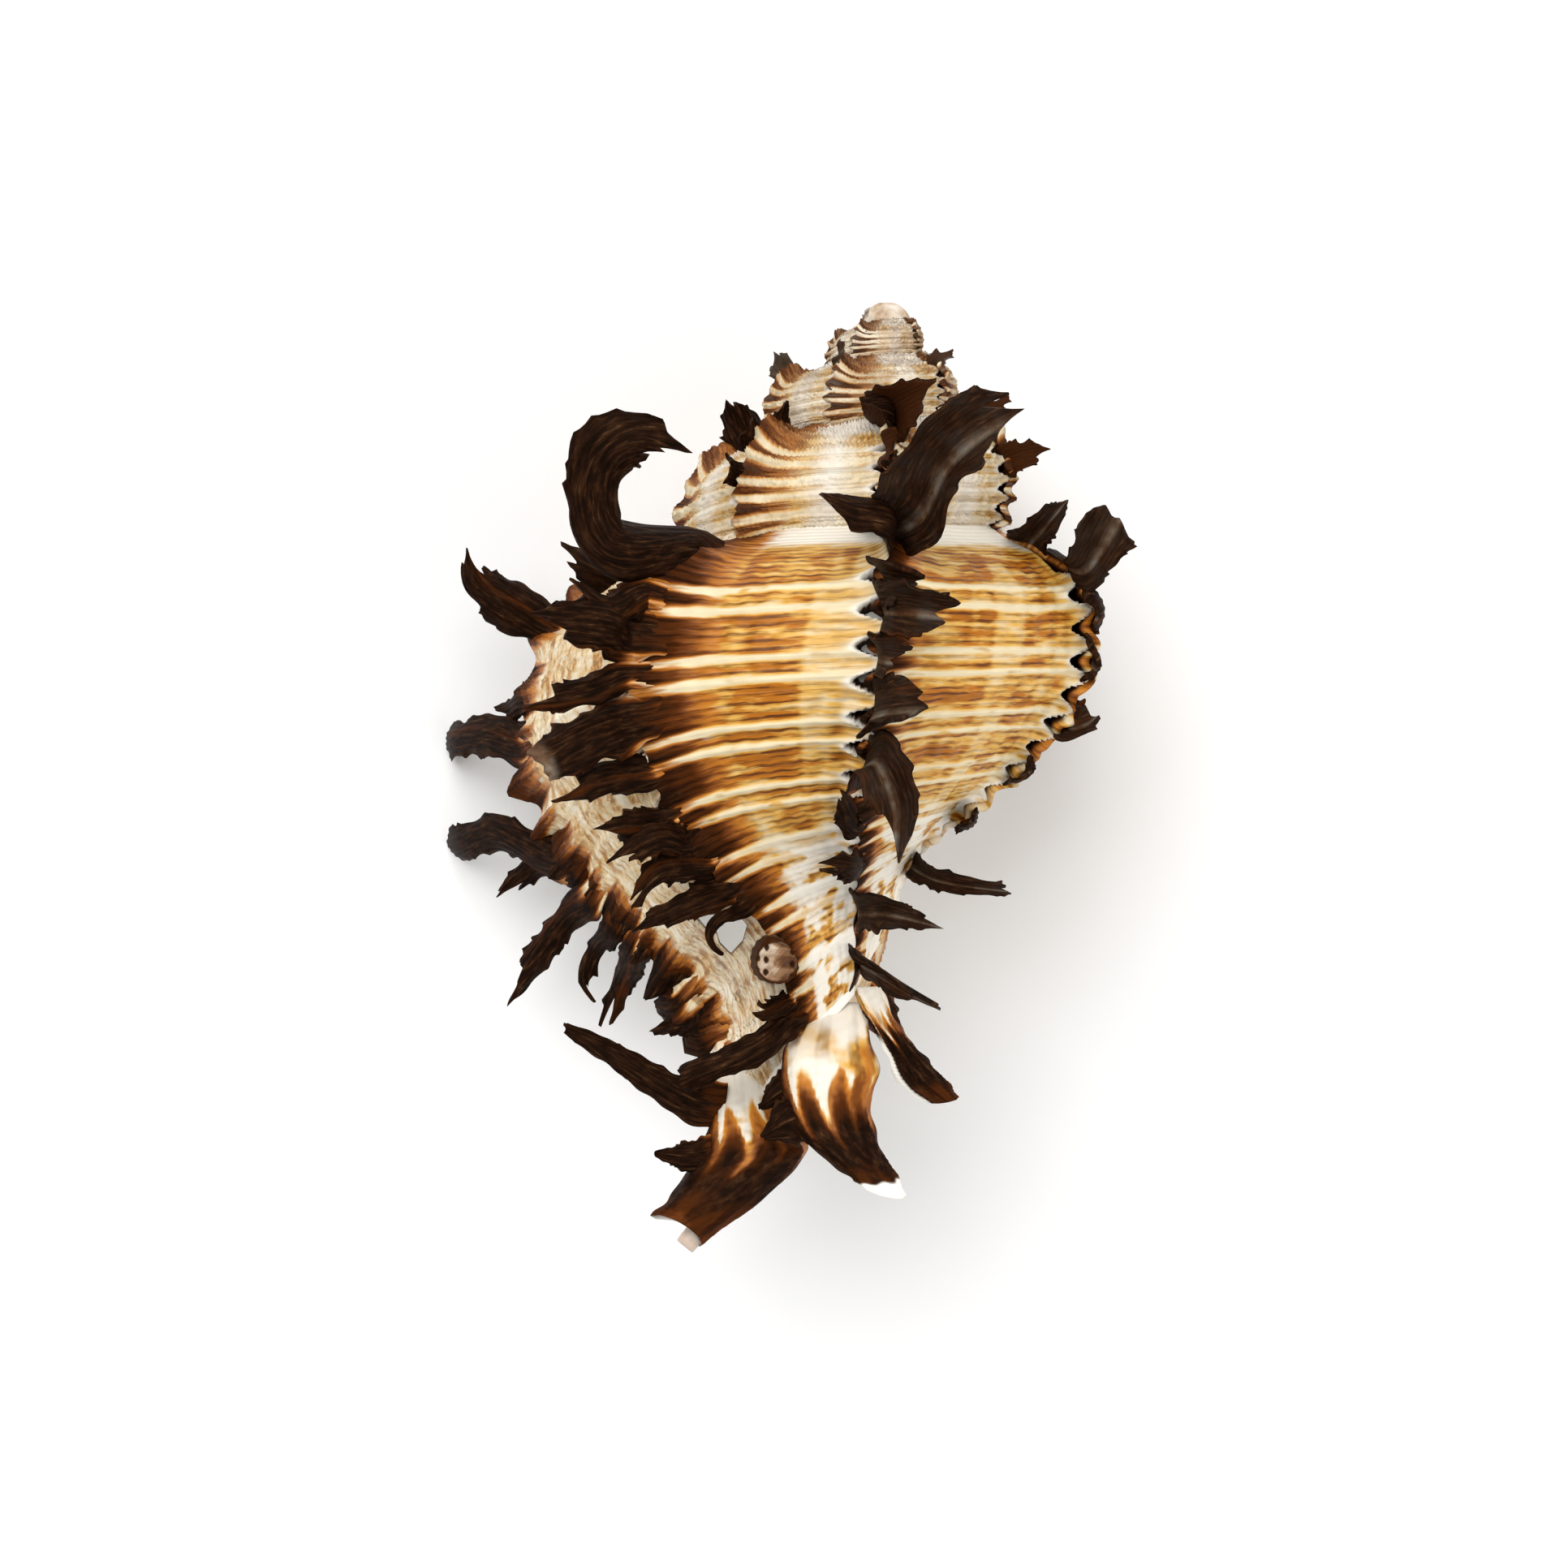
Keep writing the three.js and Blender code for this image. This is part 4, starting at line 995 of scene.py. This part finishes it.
# %% Make the fronds
# Fronds that stand on the table have straight ends. The backs of those at 138 turn up.
rng = np.random.default_rng(7)
for name, angle, fronds in (
    ("lip_fronds", lip_angle, lip_fronds), ("left_fronds", 138, left_fronds), ("top_fronds", 87, top_fronds),
    ("right_fronds", 28, right_fronds), ("lower_right_fronds", -36, lower_right_fronds),
    ("under_fronds", -88, under_fronds),
):
    shared = {"face": upward if angle == 138 else None, "streak": 0.8 * (angle in (28, 87)),
              "worn": 0.9 * (angle == lip_angle)}
    made = []
    for drop, widths, path, *special in fronds:
        fork = 0.05 if path[-1][2] < 1 else 0.1 if angle == 28 else 0.22
        settings = {"fork": fork, **shared, **(special[0] if special else {})}
        made.append(frond(angle, drop, widths, path, **settings))
    make_piece(name, *join_meshes(made))
made = [frond(angle, drop, [width * size_at(angle) * share for share in (1, 0.9, 0.45)],
              short_path(angle, drop, length), rows=26)
        for angle, drops, length, width in plain_fronds for drop in drops]
# The frond on the spire's top varix spreads into two blades.
spire_fronds = [([5.6, 5.2, 4.0, 1.6], [[10.4, 34.4, 36.5], [12.6, 35.6, 38.5], [14.2, 36.6, 39]]),
                ([5.0, 4.0, 1.6], [[8.8, 35.0, 36.0], [6.9, 34.9, 37.0]])]
made += [frond(-273, 25.0, widths, path, rows=40) for widths, path in spire_fronds]
make_piece("small_fronds", *join_meshes(made))

# %% [markdown]
# ## Canals
# Under each varix the neck ends in a spout, through which the snail drew water. It is an arch
# between a left and a right edge line, with a thick wall. The newer ones stay as wide spouts, and
# the brown comes into their white in long streaks, because it follows the cords of the neck.

# %% Canals
spout_skins = (41, 21)
# Each canal: left edge, right edge, height of the crown, arch height as a share of the half width.
canals = {
    "newest": ([[-7.4, -20.6], [-6.9, -24.2], [-6.5, -27.6], [-6.6, -30.0], [-7.2, -32.4], [-8.2, -34.4],
                [-9.2, -36.0], [-10.3, -37.6], [-11.3, -38.7], [-12.2, -39.5]],
               [[-2.0, -20.6], [-1.6, -24.0], [-1.2, -27.2], [-0.7, -29.8], [0.9, -31.9], [2.1, -33.4],
                [1.2, -35.2], [-1.4, -37.6], [-4.4, -39.9], [-7.7, -42.3]],
               [25.0, 26.8, 28.4, 30.2, 31.8, 32.8, 33.2, 33.5, 33.9, 34.2], 0.6),
    "upper": ([[1.6, -20.2], [0.3, -23.6], [-0.4, -26.3], [-0.1, -29.2], [1.0, -32.0], [2.9, -33.5],
               [4.9, -35.1], [6.2, -36.0], [7.0, -36.5]],
              [[7.2, -20.0], [8.0, -23.4], [8.6, -26.3], [8.0, -28.7], [8.1, -31.0], [8.8, -33.0], [9.7, -34.6],
               [10.5, -36.0], [11.0, -37.3]],
              [28.8, 32.5, 34.1, 35.3, 36.3, 37.0, 37.7, 38.3, 38.7], 0.62),
    "right": ([[6.0, -18.6], [7.6, -21.4], [8.6, -23.2], [9.5, -25.0], [10.0, -26.6], [11.0, -28.0], [12.8, -29.1]],
              [[9.0, -18.6], [10.2, -21.6], [11.4, -23.3], [12.8, -24.9], [14.1, -26.3], [15.2, -27.5],
               [15.9, -28.6]],
              [28.6, 29.8, 30.3, 30.2, 29.9, 29.5, 29.0], 0.8),
    "lowest": ([[4.6, -16.5], [6.0, -20.0], [8.2, -23.0]], [[9.2, -16.9], [10.4, -20.6], [11.2, -23.6]],
               [23.0, 20.0, 15.5], 0.8),
}


def spout(left, right, crown, arch, rows=100, wall=1.3, bulge=0.0):
    """A spout. Across it, a point lies at the sine of an angle times the half width, and below the
    crown by the arch height times one minus the cosine. The inner skin is the same arch, smaller by
    the wall. Growth layers and fine cords roughen the outer skin."""
    one, two, top = through(left, rows), through(right, rows), through(crown, rows)[:, None]
    t = np.linspace(0, 1, rows)[:, None]
    v, inner = two_skins(*spout_skins)
    half = (two - one) / 2
    width = np.linalg.norm(half, axis=1)[:, None]
    layers = ((t * 26 + 1.6 * v * v + 0.5 * np.sin(v * 4)) % 1) ** 2
    relief = 0.07 * np.cos(v * 17 + 2 * np.sin(t * 5)) + 0.15 * layers * (1 - v ** 4)
    wavy = (0.10 * np.sin(t * 23 + 2 * v) + 0.08 * np.sin(t * 41 + 5 * v)) * np.abs(v) ** 3
    radial = 1 + (relief + wavy) * (1 - inner) / width - inner * wall * (1 - 0.55 * np.abs(v) ** 3) / width
    across = radial * np.sin(v * 1.5)
    below = width * arch * (1 - radial * np.cos(v * 1.5))
    flat = ((one + two) / 2)[:, None, :] + half[:, None, :] * across[..., None]
    forward = unit(np.gradient((one + two) / 2, axis=0))[:, None, :]
    flat = flat + forward * (bulge * t ** 10 * (1 - v * v))[..., None]
    points = np.concatenate([flat, (top - below)[..., None]], -1)
    return points, ring_faces(rows, sum(spout_skins), spout_skins[0]), t + 0 * v, v + 0 * t, inner + 0 * t


def spout_values(t, v, inner, begin, full, brown, length, white_end=0.0, white_left=0.0):
    """The brown begins at a share of the length, but later in two white tongues and earlier at the
    left edge. It is amber first, longest on the right, then dark, and pales again near the rim."""
    bend = v + 0.06 * np.sin(t * 9)
    tongues = 0.17 * np.exp(-(((bend + 0.05) / 0.13) ** 2)) + 0.13 * np.exp(-(((bend + 0.48) / 0.10) ** 2))
    streaks = 0.04 * np.sin(bend * 13) + 0.025 * np.sin(bend * 29 + 1)
    s = t + streaks - tongues + 0.22 * ease(-0.6, -0.9, v)
    browning = ease(begin, begin + 0.12, s)
    toward = brown * (0.40 * browning + 0.60 * ease(begin + 0.1, full, s - 0.12 * ease(0.1, 0.9, v)))
    toward = toward * (1 - 0.32 * ease(0.72, 0.94, t))
    white = np.maximum(white_end * ease(0.885, 0.905, t + 0.03 * v + 0.01 * np.sin(v * 11)),
                       white_left * ease(-0.5, -0.58, v) * ease(0.3, 0.4, t))
    return point_values(
        t.shape, line=first_band + 7 * band_spacing + v * 1.1, grow=t * length, toward=toward,
        pale=0.9 * (1 - browning), inside=np.maximum(inner, white))


made = []
for name, begin, full, brown, length, bulge, ends in (
    ("newest", 0.28, 0.60, 0.98, 24, -1.0, {}), ("upper", 0.21, 0.50, 1.0, 20, 0.9, {"white_end": 1.0}),
    ("right", 0.10, 0.30, 1.0, 12, 0.6, {"white_left": 1.0}), ("lowest", 0.05, 0.4, 0.9, 9, 0.3, {}),
):
    points, faces, t, v, inner = spout(*canals[name], bulge=bulge)
    made.append((points, faces, spout_values(t, v, inner, begin, full, brown, length, **ends)))


def rod(start, end, beside, share, x, y, lifted=0.0):
    """Points round the line from start to end: at a share of it, x and y away from it, and lifted
    along it."""
    start, end = np.array(start), np.array(end)
    axis = unit(end - start)
    side = unit(np.cross(axis, beside))
    return (start + (end - start) * (share + 0 * x)[..., None] + axis * (lifted + 0 * x)[..., None]
            + side * x[..., None] + np.cross(axis, side) * y[..., None])


# The end of the newest canal is rolled into a little pale tube, an outer and an inner skin.
tube_turn = even_turns(40)
tube_share = np.array([0, 0.3, 0.6, 0.85, 0.97, 1, 0.98, 0.85, 0.6, 0.3, 0])[:, None]
tube_radius = np.array([1.0, 1.0, 0.98, 0.98, 0.94, 0.84, 0.7, 0.64, 0.62, 0.6, 0.6])[:, None]
tube = rod([-6.4, -39.0, 32.4], [-9.1, -42.3, 32.5], upward, tube_share,
           tube_radius * np.cos(tube_turn), tube_radius * np.sin(tube_turn))
made.append((tube, ring_faces(*tube.shape[:2]), point_values(
    tube.shape[:2], line=first_band, grow=tube_share * 3, toward=0.12 + 0.6 * ease(0.9, 0.3, tube_share),
    pale=1.0, inside=0.35 * ease(0.35, 0.6, tube_share), old=0.6)))
make_piece("canals", *join_meshes(made))

# %% Spines on the canals
canal_spines = [
    ([[-5.4, -29.5, 29.2], [-8.2, -29.0, 29.6], [-11.2, -27.6, 29.4], [-15.4, -25.0, 28.6], [-20.4, -22.2, 27]],
     [4.6, 3.8, 2.6, 2.1, 0.9]),
    ([[-6.6, -34.0, 31.2], [-9.2, -34.1, 31.4], [-11.9, -33.8, 31.4]], [3.8, 2.6, 0.4]),
    ([[2.2, -26.8, 31.2], [0.2, -27.9, 32.4], [-2.3, -29.7, 33.0]], [3.6, 3.4, 0.3]),
    ([[3.2, -29.6, 33.2], [0.8, -30.7, 34.2], [-2.1, -32.3, 34.4]], [5.0, 4.8, 0.4]),
]


def spine(points, widths):
    """A dark spine that stands on a canal."""
    half = lambda t: np.interp(t, np.linspace(0, 1, len(widths)), np.asarray(widths) / 2)
    fold = lambda t: 0.4 + 0.7 * ease(0.15, 0.5, t)
    points, faces, t, v, _, length = ribbon(
        np.array(points), upward, half, fold, 0.8, rng, rows=50, teeth=2, tooth=0.2, fork=0.03)
    return points, faces, point_values(
        t.shape, line=first_band + v * 1.6, grow=t * length, toward=0.75 + 0.6 * ease(0, 0.35, t))


make_piece("canal_spines", *join_meshes([spine(*one) for one in canal_spines]))

# %% [markdown]
# ## A broken frond
# One frond on the neck was broken off long ago. What stands is a rough oval rod, dark brown on its
# side, and its end is grey and pitted. Its rings go up the side and then in over the end.

# %% A broken frond
stub_top = np.array([-0.65, -16.2, 38.0])
side_rings, end_rings = 20, 18
stub_rows = np.concatenate([np.linspace(0, 1, side_rings), np.ones(end_rings)])[:, None]
stub_radius = np.concatenate([np.linspace(2.2, 1.98, side_rings), np.linspace(1.9, 0.001, end_rings)])[:, None]
stub_turn = even_turns(72)
oval = 1 + 0.07 * np.sin(stub_turn * 2 + 0.4) + 0.05 * np.sin(stub_turn * 3 + 1) + 0.025 * np.sin(stub_turn * 17)
stub_radius = stub_radius * oval
stub_x, stub_y = stub_radius * np.cos(stub_turn), stub_radius * np.sin(stub_turn)
on_end = (stub_rows > 0.999) + 0 * stub_x
rough = np.sin(stub_x * 3.0 + 2.4 * np.sin(stub_y * 2.1 + 0.5)) * np.sin(stub_y * 3.7 + stub_x * 2.6 + 0.8)
lifted = (0.24 * rough - 0.12 * stub_radius) * ease(0.0, 0.4, stub_radius) - 0.25 * ease(0.5, 0.0, stub_radius)
stub_points = rod([-1.0, -16.1, 30.0], stub_top, rightward, stub_rows, stub_x, stub_y, lifted * on_end)
flat_end = ease(1.9, 1.72, stub_radius) * on_end
# Painted shade: the end darkens towards its right side and in its pits; the side is its own darker brown.
shaded = 0.08 + 0.42 * ease(-0.7, 0.9, stub_points[..., 0] - stub_top[0])
make_piece("frond_stub", stub_points, ring_faces(*stub_x.shape, stub_x.shape[1] // 2), point_values(
    stub_x.shape, line=first_band + 0.7 * stub_x, grow=stub_rows * 8, toward=0.8 + (shaded - 0.8) * flat_end,
    hollow=0.5 - 0.35 * flat_end + 0.6 * flat_end * ease(-0.15, -0.75, rough), old=1.0))

# %% [markdown]
# ## The mouth
# Inside the last turn is the hollow where the snail lived. Its section follows the turn's, smaller
# by the wall, and it narrows inwards until it closes out of sight. The lining is a double skin.

# %% The mouth
mouth_section = np.array([
    [14.0, 37.0], [19.5, 36.4], [25.4, 38.8], [28.8, 43.6], [28.6, 49.0], [26.0, 54.4], [21.4, 60.0],
    [15.8, 65.4], [11.6, 68.4], [9.2, 64.0], [8.8, 57.0], [10.6, 50.0], [12.4, 44.0],
])
mouth_centre = np.array([17.0, 50.0])
hollow_angles = np.array([93, 96, 110, 126, 142, 158, 174, 188, 194, 197.5, 199])
hollow_shrink = np.array([0.02, 0.4, 0.54, 0.64, 0.72, 0.76, 0.79, 0.80, 0.81, 0.84, 0.88])


def porcelain_piece(name, points):
    """A white piece whose last ring joins its first."""
    shape = points.shape[:2]
    make_piece(name, points, ring_faces(*shape), point_values(shape, pale=1.0, inside=1.0))


def mouth_ring(angle, shrink, sides=96):
    """The mouth's section at an angle, shrunk about its centre, as a smooth closed ring."""
    size = size_at(min(angle, lip_angle)) / size_at(lip_angle)
    ring = size * (mouth_centre + (closed_through(mouth_section, sides) - mouth_centre) * shrink)
    return place(ring[:, 0], np.full(sides, float(angle)), ring[:, 1])


ring_angles = np.concatenate([np.linspace(93, 96, 8), np.linspace(97, 199, 70)])
shrinks = np.interp(ring_angles, hollow_angles, hollow_shrink)
inner_rings = [mouth_ring(angle, shrink) for angle, shrink in zip(ring_angles, shrinks)]
outer_rings = [mouth_ring(angle, shrink + 0.05) for angle, shrink in zip(ring_angles[::-1], shrinks[::-1])]
lining = np.array(inner_rings + outer_rings)
porcelain_piece("mouth_lining", lining)

# %% [markdown]
# ## The face round the mouth
# From the rim of the mouth a smooth white face runs out to the lip on one side. On the other side
# it lies as a glaze over the pillar, because the snail coats everything that its body touches.

# %% The mouth face
face_inset = 0.87
turns = even_turns(120)[0]
neck_border = [[6.0, 80.0], [6.3, 60.0], [5.4, 40.0], [6.4, 30.0]]
border = np.concatenate([section[1:] * size_at(lip_angle) * [0.985, 1.0], neck_border])


def at_turns(points):
    """Points of an outline in the directions `turns` from the mouth's centre."""
    point_turns = np.arctan2(points[:, 1] - mouth_centre[1], points[:, 0] - mouth_centre[0]) % (2 * np.pi)
    order = np.argsort(point_turns)
    return np.stack([np.interp(turns, point_turns[order], points[order, i], period=2 * np.pi)
                     for i in range(2)], -1)


inner_edge, outer_edge = at_turns(closed_through(mouth_section, 400)), at_turns(border)
share = np.linspace(0, 1, 24)[:, None]
across = mouth_centre + (inner_edge - mouth_centre) * face_inset
across = across + (outer_edge - across) * share[..., None]
inner_side = ease(-2.0, 12.0, 14.0 - outer_edge[None, :, 0]) * share
face_angle = 198.2 - 1.7 * share + 48 * inner_side * share + 1.2 * np.sin(np.pi * share)
face_radius, face_drop = across[..., 0], across[..., 1]
front = place(face_radius, face_angle, face_drop)
behind = place(face_radius, face_angle - 3.0 - 1.5 * share, face_drop)[::-1]
face_points = np.concatenate([front, behind])
porcelain_piece("mouth_face", face_points)

# %% [markdown]
# ## The gap beside the neck
# Where two panels part beside the neck the snail left a gap, and through it the table is seen. We
# cut it with an upright prism, and the cut mesh takes the place of the first one.

# %% The gap beside the neck
gap_outline = np.array([[-7.9, -12.3], [-6.6, -11.9], [-5.6, -12.2], [-4.2, -12.0], [-3.4, -12.9], [-3.8, -14.4],
                        [-4.9, -15.6], [-5.9, -14.6], [-6.2, -13.6], [-7.0, -13.4]])
prism_heights = (-0.01, 0.08)
count = len(gap_outline)
prism = bpy.data.meshes.new("prism")
corners = [(x / 1000, y / 1000, z) for z in prism_heights for x, y in gap_outline]
sides = [(i, i + count, (i + 1) % count + count, (i + 1) % count) for i in range(count)]
prism.from_pydata(corners, [], [tuple(range(count)), tuple(range(2 * count - 1, count - 1, -1)), *sides])
prism_object = bpy.data.objects.new("prism", prism)
bpy.context.scene.collection.objects.link(prism_object)
for piece in shell_pieces:
    if piece.name not in ("panel_upper_left", "panel_lip", "mouth_lining", "mouth_face"):
        continue
    cutter = piece.modifiers.new("gap", "BOOLEAN")
    cutter.object, cutter.operation, cutter.solver = prism_object, "DIFFERENCE", "MANIFOLD"
    evaluated = piece.evaluated_get(bpy.context.evaluated_depsgraph_get())
    cut_mesh = bpy.data.meshes.new_from_object(evaluated)
    piece.modifiers.clear()
    piece.data = cut_mesh
    print(piece.name, "cut:", len(cut_mesh.polygons), "faces")
bpy.data.objects.remove(prism_object)

# %% [markdown]
# ## The floor and the hand-over
# The table is one pale square. Each piece rides on the shell's only body and stands in for it.

# %% The floor
floor_reach = 6
floor_mesh = bpy.data.meshes.new("floor")
floor_corners = [(x * floor_reach, y * floor_reach, 0) for x, y in ((-1, -1), (1, -1), (1, 1), (-1, 1))]
floor_mesh.from_pydata(floor_corners, [], [(0, 1, 2, 3)])
floor = bpy.data.objects.new("floor", floor_mesh)
bpy.context.scene.collection.objects.link(floor)
floor_paint = bpy.data.materials.new("floor_paint")
floor_paint.use_nodes = True
floor_inputs = floor_paint.node_tree.nodes["Principled BSDF"].inputs
floor_inputs["Base Color"].default_value = (0.92, 0.92, 0.92, 1)
floor_inputs["Roughness"].default_value = 0.8
floor_mesh.materials.append(floor_paint)

# %% Hand over
for piece in shell_pieces:
    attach(piece, "root")
    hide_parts("shell")
